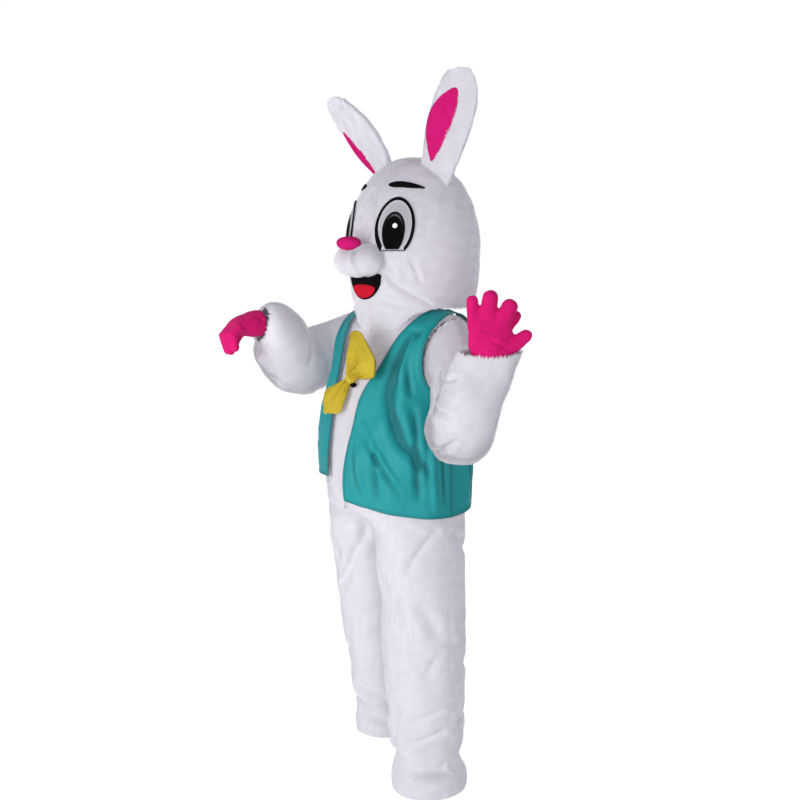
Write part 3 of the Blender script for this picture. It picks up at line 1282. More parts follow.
def build_eye(side, hand):
    """One eye: a printed cloth plate, a black outline that thickens at its inner foot, a mesh pupil
    and a white dot."""
    outline = egg_outline(EYE)
    plate, part = face_plate(f"eye_{hand}_cloth", EYE["turn"], EYE["z"], outline, -4.5, 3.0, 1.5, eye_cloth(),
                             side)
    set_values(plate, "inner", 1 - 0.8 * bump(part, 0.85, 0.04))
    place(plate, "eye_cloth", [f"eye_{hand}"])
    # the outline is a band round the plate, its inner edge a width in from the outer one
    sides = 160
    t = np.arange(sides) / sides
    du, dz = outline(t)
    radius = np.hypot(du, dz)
    turn = 2 * np.pi * t
    wide = 8.2 + 6.0 * bump(turn, 1.27 * np.pi, 0.5)
    foot = dz <= -EYE["foot"] + 0.01
    wide = np.where(foot, 2.0, wide)
    rings = []
    for inward, out in ((1, 2.4), (0.0, 2.6), (0.0, 4.0), (0.18, 4.5), (0.5, 4.8), (0.85, 4.8), (1, 4.5),
                        (1, 2.6)):
        part = 1 - inward * wide / radius
        rings.append(on_head(
            side * EYE["turn"] + side * du * part / HEAD_HALF_WIDTH / head_profile(EYE["z"]),
            EYE["z"] + dz * part, out))
    rings = np.array(rings)
    points = rings.reshape(-1, 3)
    faces = grid_faces(len(rings), sides, ring=True)
    band = new_mesh(f"eye_{hand}_outline", points, np.concatenate([faces, np.stack([
        np.arange(sides), (np.arange(sides) + 1) % sides,
        (len(rings) - 1) * sides + (np.arange(sides) + 1) % sides,
        (len(rings) - 1) * sides + np.arange(sides),
    ], -1)]), black_felt())
    place(band, "black_felt")
    pupil, part = face_plate(f"pupil_{hand}_mesh", PUPIL["turn"], PUPIL["z"], egg_outline(PUPIL), 3.6, 5.4,
                             2.2, pupil_mesh(), side)
    angle = np.concatenate([np.tile(t_round(120), 13), [0, 0]])
    arc = bump(part, 0.8, 0.04) * bump(angle - side * 0.2, 0, 0.7) * (np.sin(30 * angle) > 0)
    set_values(pupil, "inner", 1 - 0.6 * arc - 0.9 * bump(part, 1, 0.012))
    place(pupil, "pupil_mesh", [f"pupil_{hand}"])
    dot_outline = lambda t: (6.4 * np.sin(2 * np.pi * t), 6.4 * np.cos(2 * np.pi * t))
    glint, _ = face_plate(f"pupil_{hand}_glint", math.radians(34.1), 205, dot_outline, 7.0, 8.0, 0.5,
                          glint_vinyl(), side, sides=40, edge=0.4)
    place(glint, "eye_cloth")


def t_round(sides):
    """Angles round an outline from its top, between -pi and pi."""
    turn = 2 * np.pi * np.arange(sides) / sides
    return np.where(turn > np.pi, turn - 2 * np.pi, turn)


def build_brow(side, hand):
    """One brow: thick and round at its inner end, running out to a point."""
    def outline(t):
        """Side and height at a part of the way round."""
        along = -np.cos(2 * np.pi * t)
        thick = 10 * np.sqrt(np.clip(1 - along * along, 0, 1)) * (1 - 0.28 * (along + 1))
        arch = 4 * (1 - along * along) - 5 * along
        return BROW["half"] * along, arch + thick * np.sign(np.sin(2 * np.pi * t))
    obj, _ = face_plate(f"brow_{hand}_felt", BROW["turn"], BROW["z"], outline, -5.5, 2.6, 0.4, black_felt(),
                        side, 96)
    place(obj, "black_felt", [f"brow_{hand}"])


def ellipsoid(centre, half, around=64, rings=36):
    """Closed skin of an ellipsoid."""
    lift = np.pi * np.arange(1, rings) / rings
    turn = 2 * np.pi * np.arange(around) / around
    shape = xyz(np.sin(lift)[:, None] * np.sin(turn), -np.sin(lift)[:, None] * np.cos(turn),
                -np.cos(lift)[:, None] + 0 * turn)
    return skin_arrays(shape * half + centre, centre - [0, 0, half[2]], centre + [0, 0, half[2]])


def out_of_head(points, out):
    """Points that lie inside the head, moved out to a distance off it."""
    x, y, z = points[:, 0] - HEAD_X, points[:, 1] - HEAD_Y, points[:, 2]
    k = head_profile(z)
    size = np.hypot(x / HEAD_HALF_WIDTH, y / HEAD_HALF_DEPTH)
    grow = np.maximum((k + out / HEAD_HALF_WIDTH) / np.maximum(size, 1e-6), 1)
    return np.stack([HEAD_X + x * grow, HEAD_Y + y * grow, z], -1)


def build_muzzle():
    """One stuffed mass of three puffs, with soft creases under the nose, and its pile."""
    reach = bpy.context.scene.costume_plush.reach * 1000
    puffs = [(np.array([HEAD_X + side * MUZZLE_OUT, MUZZLE_Y, MUZZLE_Z]), MUZZLE_HALF) for side, _ in SIDES]
    puffs.append((np.array([HEAD_X, MUZZLE_Y - 5, MUZZLE_Z - 3]), MUZZLE_HALF + [2, 0, 0]))
    points, faces = united([ellipsoid(c, half - reach + 0.5) for c, half in puffs], 2.6)
    points = relax(points, faces, 12)
    normal = vertex_normals(points, faces)
    creases = (
        ((-2, -190, 138), (-6, -190, 118), (-6, -184, 96), 4, 2.2), ((26, -188, 138), (31, -186, 118), 4, 2),
        ((-26, -178, 140), (-34, -176, 118), 5, 2),
        ((52, -168, 136), (58, -164, 108), 6, 2),
    )
    sunk = np.zeros(len(points))
    for *stops, width, depth in creases:
        path = np.array([points[np.argmin(((points - np.array(p)) ** 2).sum(1))] for p in stops])
        sunk += fold_depth(points, path, width, depth)
    points = points - normal * (sunk + 0.8 * ripple(points, 40, 51))[:, None]
    free = out_of_head(points, -2.0)
    pressed = np.linalg.norm(free - points, axis=1) > 0.2
    obj = new_mesh("muzzle_cloth", free, faces, plush_ground(), weld=False)
    place(obj, "white_plush", ["muzzle"])
    outside = faces[~pressed[faces].any(1)]

    def combed(p):
        """Nap of the muzzle: out from under the nose and down."""
        away = p - NOSE["centre"]
        return unit(away * [1.2, 0.2, 1] + [0, 0, -20])

    pile = pile_object("muzzle_pile", free, outside, combed, 15000, plush_pile(), 401, length=11.0)
    place(pile, "white_plush")


def build_nose():
    """Felt nose: a stuffed oval, flatter above, drawn in where it is sewn down on the muzzle."""
    turn = 2 * np.pi * np.arange(96) / 96
    lift = np.pi * np.arange(1, 48) / 48
    shape = xyz(np.sin(lift)[:, None] ** 0.9 * np.sin(turn), -np.sin(lift)[:, None] ** 0.9 * np.cos(turn),
                -np.cos(lift)[:, None] + 0 * turn)
    shape[..., 0] *= 1 + 0.10 * shape[..., 2]
    points = shape * NOSE["half"] + NOSE["centre"]
    points = points + unit(shape) * (0.35 * ripple(points, 16, 61))[..., None]
    obj = skin_object("nose_felt", points, NOSE["centre"] - [0, 0, NOSE["half"][2]],
                      NOSE["centre"] + [0, 0, NOSE["half"][2]], pink_felt())
    place(obj, "pink_felt", ["nose"])


def build_mouth():
    """Black felt mouth with a raised lip round it, and a stuffed red tongue in its lower half."""
    mouth, part = face_plate("mouth_felt", MOUTH["turn"], MOUTH["z"], bowl_outline(70, 64, 10), -5.0, 2.2,
                             1.2, black_felt(), sides=120)
    place(mouth, "black_felt", ["mouth"])
    tongue, part = face_plate("tongue_felt", TONGUE["turn"], TONGUE["z"], bowl_outline(47, 27.5, 9), 1.5, 4.6,
                              3.2, red_felt(), sides=96)
    place(tongue, "red_felt", ["tongue"])


# ---- ears ------------------------------------------------------------------------------------
# t, out, back, up, half width, half thickness, turn of the open side
EAR = {
    LEFT: smooth_table([
        [0, 104, 44, 318, 48, 19, 20], [0.2, 128, 42, 376, 54, 19, 24], [0.45, 166, 34, 448, 64, 18, 27],
        [0.7, 210, 24, 520, 64, 17, 28], [0.87, 240, 16, 566, 52, 14, 28], [0.97, 258, 11, 594, 26, 8, 28],
        [1, 262, 10, 601, 4, 3, 28],
    ]),
    RIGHT: smooth_table([
        [0, 84, 44, 322, 44, 20, 22], [0.2, 110, 40, 380, 54, 21, 24], [0.45, 158, 30, 444, 64, 22, 26],
        [0.7, 224, 16, 508, 60, 21, 30], [0.87, 270, 6, 550, 46, 17, 30], [0.97, 298, 1, 572, 22, 10, 30],
        [1, 304, 0, 577, 4, 3, 30],
    ]),
}

# where each lining starts and ends, its half width, and how far it lies towards the ear's own edge
# at its ends and its middle, as a part of the ear's half width
INNER_EAR = {LEFT: (0.19, 0.83, 36, 0.32, 0.38, 0.08), RIGHT: (0.15, 0.72, 15, 0.6, 0.74, 0.62)}


def lining_at(side, t, wide):
    """Part of the way along an ear's lining, its half width there and how far it lies aside."""
    start, end, half, low, middle, high = INNER_EAR[side]
    part = np.clip((t - start) / (end - start), 0, 1)
    bow = middle - (low + high) / 2
    return (half * np.sin(np.pi * part**1.15) ** 0.62,
            wide * (mix(low, high, part) + bow * 4 * part * (1 - part)))


def ear_frame(side, t):
    """Frame of an ear at stations: its row, its middle, the facing of its open side and its across."""
    row, ahead, behind = EAR[side](t), EAR[side](t + 0.02), EAR[side](t - 0.02)
    mirror = np.array([side, 1, 1])
    along = unit((ahead - behind)[..., :3] * mirror)
    turn = np.radians(row[..., 5])
    facing = xyz(np.sin(turn) * side, -np.cos(turn), 0.1)
    facing = unit(facing - along * dot(facing, along)[..., None])
    return row, row[..., :3] * mirror, along, facing, np.cross(facing, along)


def build_ear(side, hand):
    """One ear: a padded plush leaf, dished on its open side, with a pink felt lining."""
    reach = bpy.context.scene.costume_plush.reach * 1000 * 0.85
    t = np.concatenate([np.linspace(0, 0.9, 52), 0.9 + 0.085 * np.sin(np.linspace(0, np.pi / 2, 14)[1:])])
    row, centre, along, facing, across = ear_frame(side, t)
    turn = 2 * np.pi * np.arange(72) / 72
    front = np.sin(turn)
    dish = np.where(front > 0, 1 - 0.5 * front, 1)
    wide = np.maximum(row[:, 3] - reach, 2)[:, None, None]
    thick = np.maximum(row[:, 4] - reach, 2)[:, None, None]
    rings = (centre[:, None] + across[:, None] * wide * np.cos(turn)[:, None]
             + facing[:, None] * thick * (power(front, 0.8) * dish)[:, None])
    first = ear_frame(side, np.array(-0.02))[1]
    last = ear_frame(side, np.array(0.992))[1]
    name = f"ear_{hand}"
    normal = grid_normals(rings, centre[:, None] + 0 * rings)
    rings = rings + normal * (0.8 * ripple(rings, 45, 71))[..., None]
    obj = skin_object(f"{name}_cloth", rings, first, last, plush_ground())
    place(obj, "white_plush", [name])
    points, faces = skin_arrays(rings, first, last)
    faces = faces[: (len(t) - 1) * 72]
    if dot(vertex_normals(points, faces)[: len(t) * 72], normal.reshape(-1, 3)).mean() < 0:
        faces = faces[:, ::-1]

    def open_side(p):
        """Less pile where the felt lining lies."""
        nearest = ((p[:, None, :] - centre[None]) ** 2).sum(-1).argmin(1)
        offset = p - centre[nearest]
        half, aside = lining_at(side, t[nearest], row[nearest, 3])
        sideways = np.abs(dot(offset, across[nearest]) - aside)
        inside = (dot(offset, facing[nearest]) > 3) & (sideways < half - 5)
        return np.where(inside, 0.02, 1.0)

    def combed(p):
        """Nap of an ear: from the head up to its tip."""
        return along[((p[:, None, :] - centre[None]) ** 2).sum(-1).argmin(1)]

    pile = pile_object(f"{name}_pile", points, faces, combed, 28000, plush_pile(), 500 + side, reach=reach,
                       length=11.0, keep=open_side, span=(-9999, last[2] + 2))
    place(pile, "white_plush")
    # lining: a lens that follows the ear's dish
    start, end = INNER_EAR[side][:2]
    stations = np.linspace(start, end, 60)
    row2, centre2, _, facing2, across2 = ear_frame(side, stations)
    half, aside = lining_at(side, stations, row2[:, 3])
    k = np.concatenate([np.linspace(-1, 1, 25), np.linspace(1, -1, 25)[1:-1]])
    out = np.concatenate([5 * (1 - np.abs(np.linspace(-1, 1, 25)) ** 3.5) - 0.4,
                          -5 * (1 - np.linspace(1, -1, 25)[1:-1] ** 2) - 0.4])
    lining = (centre2[:, None] + across2[:, None] * (aside[:, None] + half[:, None] * k)[..., None]
              + facing2[:, None] * ((row2[:, 4] * 0.5)[:, None] + out)[..., None])[1:-1]
    ends = [centre2[i] + across2[i] * aside[i] + facing2[i] * (row2[i, 4] * 0.5 + 1) for i in (0, -1)]
    inner = skin_object(f"inner_{name}_felt", lining, ends[0], ends[1], pink_felt())
    place(inner, "pink_felt", [f"inner_{name}"])


# ---- bow -------------------------------------------------------------------------------------
KNOT, KNOT_HALF = np.array([2.0, -159.4, -196]), np.array([17.0, 15, 20])
BOW_LOBES = {
    "bow_upper": {"towards": (0.74, -0.14, 0.74), "length": 134, "wide": 78, "thick": 22, "tip": 0.86},
    "bow_lower": {"towards": (-0.6, -0.26, -0.78), "length": 132, "wide": 46, "thick": 14, "tip": 0.2},
}


def build_bow_lobe(name, lobe, seed):
    """One lobe: it opens out from the knot, and its gathers fade outwards."""
    along = unit(np.array(lobe["towards"]))
    facing = unit(np.array([0, -1, 0.1]) + along * along[1])
    across = np.cross(facing, along)
    t = np.concatenate([np.linspace(0.07, 0.86, 56),
                        0.86 + 0.13 * np.sin(np.linspace(0, np.pi / 2, 14)[1:])])[:, None]
    turn = (2 * np.pi * np.arange(144) / 144)[None]
    spread = mix(0.22, 1, ramp(t, 0, 0.72)) * mix(1, lobe["tip"], ramp(t, 0.66, 1))
    close = np.sqrt(np.clip(1 - (np.clip(t - 0.76, 0, 1) / 0.24) ** 2, 0.03, 1))
    wide = (lobe["wide"] - 2) * spread * mix(0.45, 1, close)
    thick = (lobe["thick"] - 2) * mix(0.7, 1, ramp(t, 0, 0.45)) * mix(1, 0.35, ramp(t, 0.8, 1)) * close
    rng = np.random.default_rng(seed)
    gather = 1 + 0.34 * np.cos(6 * turn) * (1 - ramp(t, 0.3, 1.0))
    for count in (11, 17, 23):
        phase = rng.uniform(0, 6.28)
        gather = gather + 0.075 * np.cos(count * turn + phase + 1.5 * t) * (1 - ramp(t, 0.25, 0.8))
    centre = KNOT + along * (lobe["length"] * t[..., None])
    rings = (centre + across * (wide * np.cos(turn))[..., None]
             + facing * (thick * gather * np.sin(turn))[..., None])
    normal = grid_normals(rings, centre + 0 * rings)
    rings = rings + normal * (0.7 * ripple(rings, 30, seed))[..., None]
    first, last = KNOT + along * 6, KNOT + along * lobe["length"] * 0.993
    obj = skin_object(f"{name}_cloth", rings, first, last, bow_plush())
    set_values(obj, "pile", np.full(len(obj.data.vertices), 0.35))
    place(obj, "yellow_plush", [name])
    points, faces = skin_arrays(rings, first, last)
    faces = faces[: (len(t) - 1) * 144]
    if dot(vertex_normals(points, faces)[: len(t) * 144], normal.reshape(-1, 3)).mean() < 0:
        faces = faces[:, ::-1]
    pile = pile_object(f"{name}_pile", points, faces, lambda p: np.tile(along, (len(p), 1)), 9000,
                       bow_plush(), seed + 5, reach=1.8, length=3.4, width=1.0)
    place(pile, "yellow_plush")


def build_bow():
    """Gathered bow at the throat: two lobes, the knot round them and the black clip under it."""
    for seed, (name, lobe) in enumerate(BOW_LOBES.items()):
        build_bow_lobe(name, lobe, 610 + 20 * seed)
    turn = 2 * np.pi * np.arange(72) / 72
    lift = np.pi * np.arange(1, 40) / 40
    shape = xyz(np.sin(lift)[:, None] * np.sin(turn), -np.sin(lift)[:, None] * np.cos(turn),
                -np.cos(lift)[:, None] + 0 * turn)
    pleats = (1 + 0.05 * np.cos(9 * turn) + 0.03 * np.cos(14 * turn))[None, :, None]
    points = shape * (KNOT_HALF - 1) * pleats + KNOT
    knot = skin_object("bow_knot_cloth", points, KNOT - [0, 0, 19], KNOT + [0, 0, 19], bow_plush())
    set_values(knot, "pile", np.full(len(knot.data.vertices), 0.45))
    place(knot, "yellow_plush", ["bow_knot"])
    points, faces = united([ellipsoid(KNOT + [9, 1, -20], np.array([10.0, 8, 7]), 24, 12)], 1.5)
    place(new_mesh("bow_clip", points, faces, black_felt(), weld=False), "black_felt")


# ---- gloves ----------------------------------------------------------------------------------
FINGER_FLAT = 0.86
GLOVES = {
    LEFT: {
        "wrist": (421, -52, -119), "up": (0.1, 0.09, 0.99),
        "palm": ((0, -16, 0, 48, 35), (0, 8, 0, 54, 31.2), (-2, 44, 0, 57, 25), (-6, 76, 0, 52, 21),
                 (-8, 94, 0, 40, 16)),
        "fingers": (
            ((-44, 60, -2, 19), (-60, 128, -6, 15)), ((-18, 78, 0, 22), (-18, 142, 0, 20)),
            ((12, 70, 2, 23), (32, 126, 4, 21)), ((24, 60, -16, 18), (52, 104, -22, 15)),
            ((24, 16, 0, 25), (60, 40, 2, 20), (82, 62, 4, 16)),
        ),
    },
    RIGHT: {
        "wrist": (-247, -300, -57), "up": (-0.17, -0.97, -0.1),
        "palm": ((0, -20, 0, 45, 44), (0, 4, 0, 43, 38), (2, 34, 0, 46, 30), (2, 60, -2, 44, 25),
                 (2, 74, -4, 34, 18)),
        "fingers": (
            ((-32, 60, -4, 18), (-34, 84, -22, 17), (-31, 80, -56, 13)),
            ((-10, 64, -4, 19), (-12, 90, -22, 18), (-10, 86, -62, 14)),
            ((14, 64, -4, 19), (13, 90, -22, 18), (12, 86, -60, 14)),
            ((36, 58, -4, 18), (38, 82, -20, 17), (34, 78, -52, 13)),
            ((36, 20, -8, 20), (44, 42, -28, 17), (44, 50, -46, 14)),
        ),
    },
}
# Both were 0.26, 0.34, 0.075 until the right one's area was refused as too large. Its new area comes
# from its measured cloth, so comparing the two tests nothing; the left one's is a guess.
GLOVE_CREASES = {
    LEFT: ((-40, 20, 28, -6, 40, 27, 30, 30, 22, 5, 3), (-30, 62, 22, 0, 66, 24, 5, 2.4),
           (20, 24, 28, 48, 40, 20, 5, 2.5),
           (-34, -4, 30, 34, 2, 30, 5, 2.6), (-38, 30, -26, 28, 36, -26, 6, 3),
           (-20, 66, -22, 22, 58, -24, 5, 2.5)),
    RIGHT: ((-36, 2, 30, 30, 8, 34, 6, 4), (-30, 16, 30, 36, 22, 28, 5, 3), (-36, 40, 24, 36, 44, 24, 5, 2.4),
            (-40, -6, 10, -30, 20, 26, 5, 3)),
}


def finger_skin(way, radii, facing, around=28):
    """Finger along a bent way, flattened across its facing, with a round tip."""
    last = len(way) - 1
    along = unit(np.array([way[min(i + 1, last)] - way[max(i - 1, 0)] for i in range(last + 1)]))
    run = np.linspace(0, last, 8 * last + 1)
    centre = np.stack([np.interp(run, range(last + 1), way[:, k]) for k in range(3)], -1)
    heading = unit(np.stack([np.interp(run, range(last + 1), along[:, k]) for k in range(3)], -1))
    radius = np.interp(run, range(last + 1), radii)
    tip = np.array([0.3, 0.55, 0.75, 0.88, 0.95])
    centre = np.concatenate([centre, centre[-1] + heading[-1] * (radius[-1] * tip)[:, None]])
    heading = np.concatenate([heading, np.tile(heading[-1], (5, 1))])
    radius = np.concatenate([radius, radius[-1] * np.sqrt(1 - (tip / 1.0) ** 2)])
    turn = 2 * np.pi * np.arange(around) / around
    out, rings = facing, []
    for c, h, r in zip(centre, heading, radius):
        out = unit(out - h * dot(out, h))
        across = np.cross(h, out)
        rings.append(c + across * (r * np.cos(turn))[:, None]
                     + out * (r * FINGER_FLAT * np.sin(turn))[:, None])
    end = way[-1] + along[-1] * radii[-1] * 0.97
    return skin_arrays(np.array(rings), way[0] - along[0] * 0.5 * radii[0], end)


def build_glove(side, hand):
    """One glove: palm and fingers run into one skin, opened at the wrist, with creases and a seam."""
    row = GLOVES[side]
    y = unit(np.array(row["up"]))
    z = unit(HAND_BACK[side] - y * dot(HAND_BACK[side], y))
    x = np.cross(y, z)
    at = lambda p: np.array(row["wrist"], float) + np.asarray(p, float)[..., :3] @ np.array([x, y, z])
    palm = smooth_table([[r[1], *r] for r in row["palm"]])
    low, high = row["palm"][0][1], row["palm"][-1][1]
    stations = np.linspace(low, high, 40)
    turn = 2 * np.pi * np.arange(56) / 56
    rows = palm(stations)
    rows[:, 3:] *= mix(0.84, 1, ramp(stations, low, low + 34))[:, None]
    rings = at(xyz(rows[:, :1] + rows[:, 3:4] * np.cos(turn), rows[:, 1:2] + 0 * turn,
                   rows[:, 2:3] + rows[:, 4:5] * np.sin(turn)))
    foot, crown = row["palm"][0], row["palm"][-1]
    parts = [skin_arrays(rings, at([foot[0], foot[1], foot[2]]), at([crown[0], crown[1] + 3, crown[2]]))]
    for finger in row["fingers"]:
        finger = np.array(finger, float)
        parts.append(finger_skin(at(finger[:, :3]), finger[:, 3], z))
    points, faces = united(parts, 2.4)
    points = relax(points, faces, 6)
    normal = vertex_normals(points, faces)
    sunk = np.zeros(len(points))
    for crease in GLOVE_CREASES[side]:
        stops = at(np.array(crease[:-2], float).reshape(-1, 3))
        path = np.array([points[np.argmin(((points - p) ** 2).sum(1))] for p in stops])
        sunk += fold_depth(points, path, crease[-2], crease[-1])
    points = points - normal * (0.3 + np.maximum(sunk, -1) + 0.5 * ripple(points, 26, 81))[:, None]
    centre, facing = points[faces].mean(1), normal[faces].mean(1)
    mouth = (dot(facing, -y) > 0.62) & (dot(centre - rings[0].mean(0), -y) > -6)
    faces = faces[~mouth]
    used = np.unique(faces)
    renumber = np.zeros(len(points), int)
    renumber[used] = np.arange(len(used))
    name = f"glove_{hand}"
    obj = new_mesh(f"{name}_fleece", points[used], renumber[faces], fleece(), weld=False)
    wall = obj.modifiers.new("wall", "SOLIDIFY")
    wall.thickness = 0.0016
    wall.offset = -1
    place(obj, "pink_fleece", [name])


# ---- settings --------------------------------------------------------------------------------
def colour_setting(name, description, red, green, blue):
    """Setting that holds an 8-bit display colour."""
    return FloatVectorProperty(name=name, description=description, subtype="COLOR",
                               default=srgb(red, green, blue))


def length_setting(name, description, metres):
    """Setting that holds a length."""
    return FloatProperty(name=name, description=description, default=metres, unit="LENGTH")


class PlushSettings(bpy.types.PropertyGroup):
    """White plush of the jumpsuit, the sleeves and the head."""
    reach: length_setting("Pile height", "How far the pile stands off its ground", 0.0052)
    length: length_setting("Blade length", "Length of a blade of the pile", 0.0148)
    blade_width: length_setting("Blade width", "Width of a blade at its root", 0.0024)
    density: FloatProperty(name="Density", description="Part of the full number of blades", default=1.0,
                           min=0.05, max=1.2, subtype="FACTOR")
    tip_colour: colour_setting("Tips", "Colour of the pile's tips", 247, 247, 250)
    shade_colour: colour_setting("Patches", "Colour of its darker patches", 238, 235, 243)
    root_colour: colour_setting("Roots", "Colour of the pile's roots", 222, 217, 229)
    ground_colour: colour_setting("Ground", "Colour of the knitted ground", 236, 233, 240)


class VestSettings(bpy.types.PropertyGroup):
    """Teal satin of the vest."""
    colour: colour_setting("Satin", "Colour of the satin", 26, 148, 152)
    shade_colour: colour_setting("Patches", "Colour of its darker patches", 16, 124, 130)
    edge_colour: colour_setting("Edge", "Colour of the turned edge and its thread", 8, 78, 84)
    hem_width: length_setting("Hem", "Width of the turned hem", 0.008)
    stitch_pitch: length_setting("Stitch", "Length from one stitch to the next", 0.0048)


class TrimSettings(bpy.types.PropertyGroup):
    """Bow, gloves and felt."""
    bow_colour: colour_setting("Bow", "Colour of the bow", 220, 204, 78)
    bow_shade: colour_setting("Bow folds", "Colour between its gathers", 186, 160, 42)
    glove_colour: colour_setting("Gloves", "Colour of the gloves", 214, 26, 112)
    glove_shade: colour_setting("Glove patches", "Colour of their darker patches", 180, 14, 92)
    felt_pink: colour_setting("Pink felt", "Colour of the nose and inner ears", 204, 28, 114)
    felt_pink_shade: colour_setting("Pink felt patches", "Colour of its darker patches", 176, 16, 94)


class StageSettings(bpy.types.PropertyGroup):
    """Camera, floor and lights."""
    azimuth: FloatProperty(name="Azimuth", description="Turn of the camera from the front",
                           default=math.radians(50), subtype="ANGLE")
    pitch: FloatProperty(name="Pitch", description="How far the camera looks down",
                         default=math.radians(6.58), subtype="ANGLE")
    distance: length_setting("Distance", "Distance of the camera", 3.2)
    lens: FloatProperty(name="Lens", description="Focal length in millimetres", default=52.07)
    floor: length_setting("Floor", "Height of the floor", -1.3415)
    sky: FloatProperty(name="Sky", description="Light from all round", default=0.47)


# ---- operators -------------------------------------------------------------------------------
class COSTUME_OT_stage(bpy.types.Operator):
    """Set up the camera, a pale floor and soft studio light."""
    bl_idname = "costume.stage"
    bl_label = "Stage"

    def execute(self, context):
        """Build the stage."""
        s = context.scene.costume_stage
        scene = context.scene
        toward = Vector((math.sin(s.azimuth), -math.cos(s.azimuth), 0))
        right = Vector((math.cos(s.azimuth), math.sin(s.azimuth), 0))
        camera = bpy.data.objects.new("camera", bpy.data.cameras.new("camera"))
        camera.data.lens = s.lens
        camera.data.sensor_width = 36
        camera.location = toward * s.distance + right * 0.011 + Vector((0, 0, 0.1))
        look = -toward * math.cos(s.pitch) - Vector((0, 0, math.sin(s.pitch)))
        camera.rotation_euler = look.to_track_quat("-Z", "Y").to_euler()
        scene.collection.objects.link(camera)
        scene.camera = camera
        scene.view_settings.view_transform = "Standard"

        floor_mesh = bpy.data.meshes.new("floor")
        floor_mesh.from_pydata([(x * 4, y * 4, s.floor) for x, y in ((-1, -1), (1, -1), (1, 1), (-1, 1))], [],
                               [(0, 1, 2, 3)])
        paper = bpy.data.materials.new("Floor paper")
        paper.use_nodes = True
        shader = paper.node_tree.nodes["Principled BSDF"]
        shader.inputs["Base Color"].default_value = (0.86, 0.86, 0.87, 1)
        seen = paper.node_tree.nodes.new("ShaderNodeLightPath")
        paper.node_tree.links.new(seen.outputs["Is Camera Ray"], shader.inputs["Emission Color"])
        shader.inputs["Emission Strength"].default_value = 0.7
        shader.inputs["Roughness"].default_value = 0.85
        floor_mesh.materials.append(paper)
        floor = bpy.data.objects.new("floor", floor_mesh)
        scene.collection.objects.link(floor)

        world = bpy.data.worlds.new("studio")
        scene.world = world
        world.use_nodes = True
        nodes, links = world.node_tree.nodes, world.node_tree.links
        nodes["Background"].inputs["Color"].default_value = (0.985, 0.965, 1.0, 1)
        seen = nodes.new("ShaderNodeLightPath")
        strength = nodes.new("ShaderNodeMapRange")
        strength.inputs["To Min"].default_value = s.sky
        strength.inputs["To Max"].default_value = 1.05
        links.new(seen.outputs["Is Camera Ray"], strength.inputs["Value"])
        links.new(strength.outputs["Result"], nodes["Background"].inputs["Strength"])
        for name, place_at, aim, size, power_w, colour in (
            ("key", (0.3, -3.3, -0.3), (0, -0.1, -0.8), 2.0, 66, (1.0, 0.99, 0.99)),
            ("fill", (3.0, -1.6, -0.7), (0.1, 0, -1.0), 1.8, 26, (0.97, 0.98, 1.0)),
            ("back", (-1.2, 3.2, 0.4), (0, 0, -0.5), 2.4, 44, (1.0, 1.0, 1.0)),
        ):
            light = bpy.data.objects.new(name, bpy.data.lights.new(name, "AREA"))
            light.data.size = size
            light.data.energy = power_w
            light.data.color = colour
            light.location = place_at
            light.rotation_euler = (Vector(aim) - Vector(place_at)).to_track_quat("-Z", "Y").to_euler()
            scene.collection.objects.link(light)
        return {"FINISHED"}


class COSTUME_OT_suit(bpy.types.Operator):
    """Sew the four plush panels of the jumpsuit."""
    bl_idname = "costume.suit"
    bl_label = "Jumpsuit"

    def execute(self, context):
        """Build the panels."""
        for side, hand in SIDES:
            for face in ("front", "back"):
                build_suit_panel(side, hand, face)
        return {"FINISHED"}


class COSTUME_OT_sleeves(bpy.types.Operator):
    """Sew the two plush sleeves."""
    bl_idname = "costume.sleeves"
    bl_label = "Sleeves"

    def execute(self, context):
        """Build the sleeves."""
        for side, hand in SIDES:
            build_sleeve(side, hand)
        return {"FINISHED"}


class COSTUME_OT_head(bpy.types.Operator):
    """Build the head's two halves, the muzzle and the nose."""
    bl_idname = "costume.head"
    bl_label = "Head"

    def execute(self, context):
        """Build the head."""
        for side, hand in SIDES:
            build_head_half(side, hand)
        build_muzzle()
        build_nose()
        return {"FINISHED"}


class COSTUME_OT_face(bpy.types.Operator):
    """Glue on the eyes, the brows, the mouth and the tongue."""
    bl_idname = "costume.face"
    bl_label = "Face"

    def execute(self, context):
        """Build the face."""
        for side, hand in SIDES:
            build_eye(side, hand)
            build_brow(side, hand)
        build_mouth()
        return {"FINISHED"}


class COSTUME_OT_ears(bpy.types.Operator):
    """Sew the two ears with their linings."""
    bl_idname = "costume.ears"
    bl_label = "Ears"

    def execute(self, context):
        """Build the ears."""
        for side, hand in SIDES:
            build_ear(side, hand)
        return {"FINISHED"}


class COSTUME_OT_vest(bpy.types.Operator):
    """Sew the satin vest: two fronts and a back."""
    bl_idname = "costume.vest"
    bl_label = "Vest"

    def execute(self, context):
        """Build the vest."""
        inside = lambda p: p * [0.55, 0.3, 1] + [0, 2, -3]
        for side, hand in SIDES:
            build_vest_panel(f"vest_front_{hand}", vest_front(side), inside, 90, 170,
                             ("left", "right", "low"))
        build_vest_panel("vest_back", vest_back, inside, 161, 150, ("left", "right", "low", "top"))
        return {"FINISHED"}


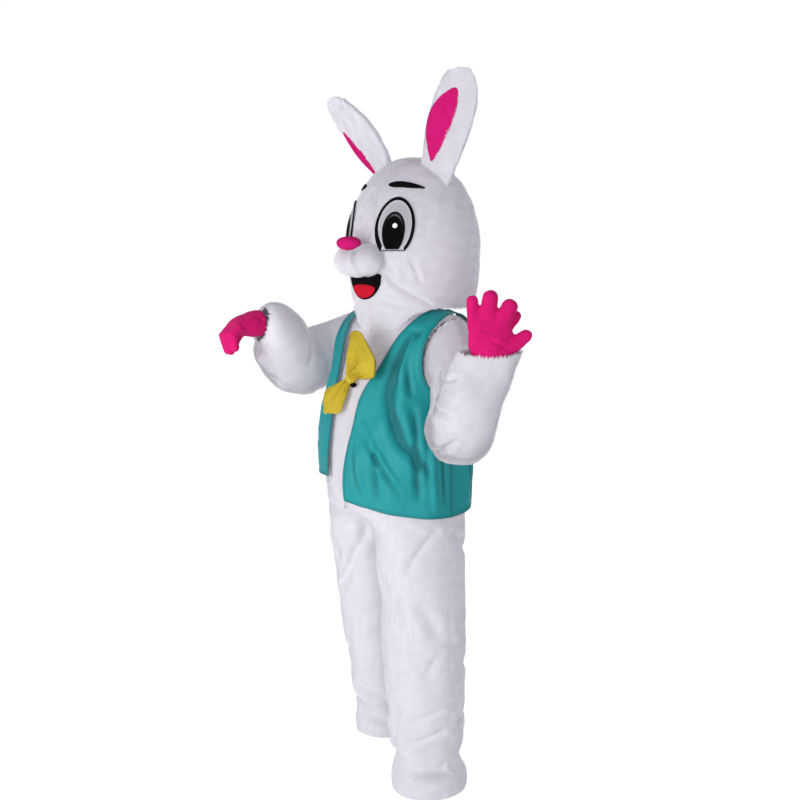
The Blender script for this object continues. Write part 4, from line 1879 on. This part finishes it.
class COSTUME_OT_bow(bpy.types.Operator):
    """Gather the plush bow."""
    bl_idname = "costume.bow"
    bl_label = "Bow"

    def execute(self, context):
        """Build the bow."""
        build_bow()
        return {"FINISHED"}


class COSTUME_OT_gloves(bpy.types.Operator):
    """Sew the two fleece gloves."""
    bl_idname = "costume.gloves"
    bl_label = "Gloves"

    def execute(self, context):
        """Build the gloves."""
        for side, hand in SIDES:
            build_glove(side, hand)
        return {"FINISHED"}


class COSTUME_PT_panel(bpy.types.Panel):
    """Costume settings and pieces in the sidebar."""
    bl_label = "Rabbit Costume"
    bl_idname = "COSTUME_PT_panel"
    bl_space_type = "VIEW_3D"
    bl_region_type = "UI"
    bl_category = "Costume"

    def draw(self, context):
        """List the settings and the operators."""
        for name in ("costume_plush", "costume_vest", "costume_trim", "costume_stage"):
            group = getattr(context.scene, name)
            box = self.layout.box()
            for key in group.__annotations__:
                box.prop(group, key)
        for operator in OPERATORS:
            self.layout.operator(operator.bl_idname)


OPERATORS = (
    COSTUME_OT_stage, COSTUME_OT_suit, COSTUME_OT_sleeves, COSTUME_OT_head, COSTUME_OT_face, COSTUME_OT_ears,
    COSTUME_OT_vest, COSTUME_OT_bow, COSTUME_OT_gloves,
)
GROUPS = {
    "costume_plush": PlushSettings, "costume_vest": VestSettings, "costume_trim": TrimSettings,
    "costume_stage": StageSettings,
}


def register():
    """Register the settings, the operators and the panel."""
    for name, group in GROUPS.items():
        bpy.utils.register_class(group)
        setattr(bpy.types.Scene, name, PointerProperty(type=group))
    for cls in (*OPERATORS, COSTUME_PT_panel):
        bpy.utils.register_class(cls)


def unregister():
    """Take them out again."""
    for cls in reversed((*OPERATORS, COSTUME_PT_panel)):
        bpy.utils.unregister_class(cls)
    for name, group in GROUPS.items():
        delattr(bpy.types.Scene, name)
        bpy.utils.unregister_class(group)


def main():
    """Build the costume on its stage."""
    register()
    bpy.ops.costume.stage()
    bpy.ops.costume.suit()
    bpy.ops.costume.sleeves()
    bpy.ops.costume.head()
    bpy.ops.costume.face()
    bpy.ops.costume.ears()
    bpy.ops.costume.vest()
    bpy.ops.costume.bow()
    bpy.ops.costume.gloves()


if __name__ == "__main__":
    main()
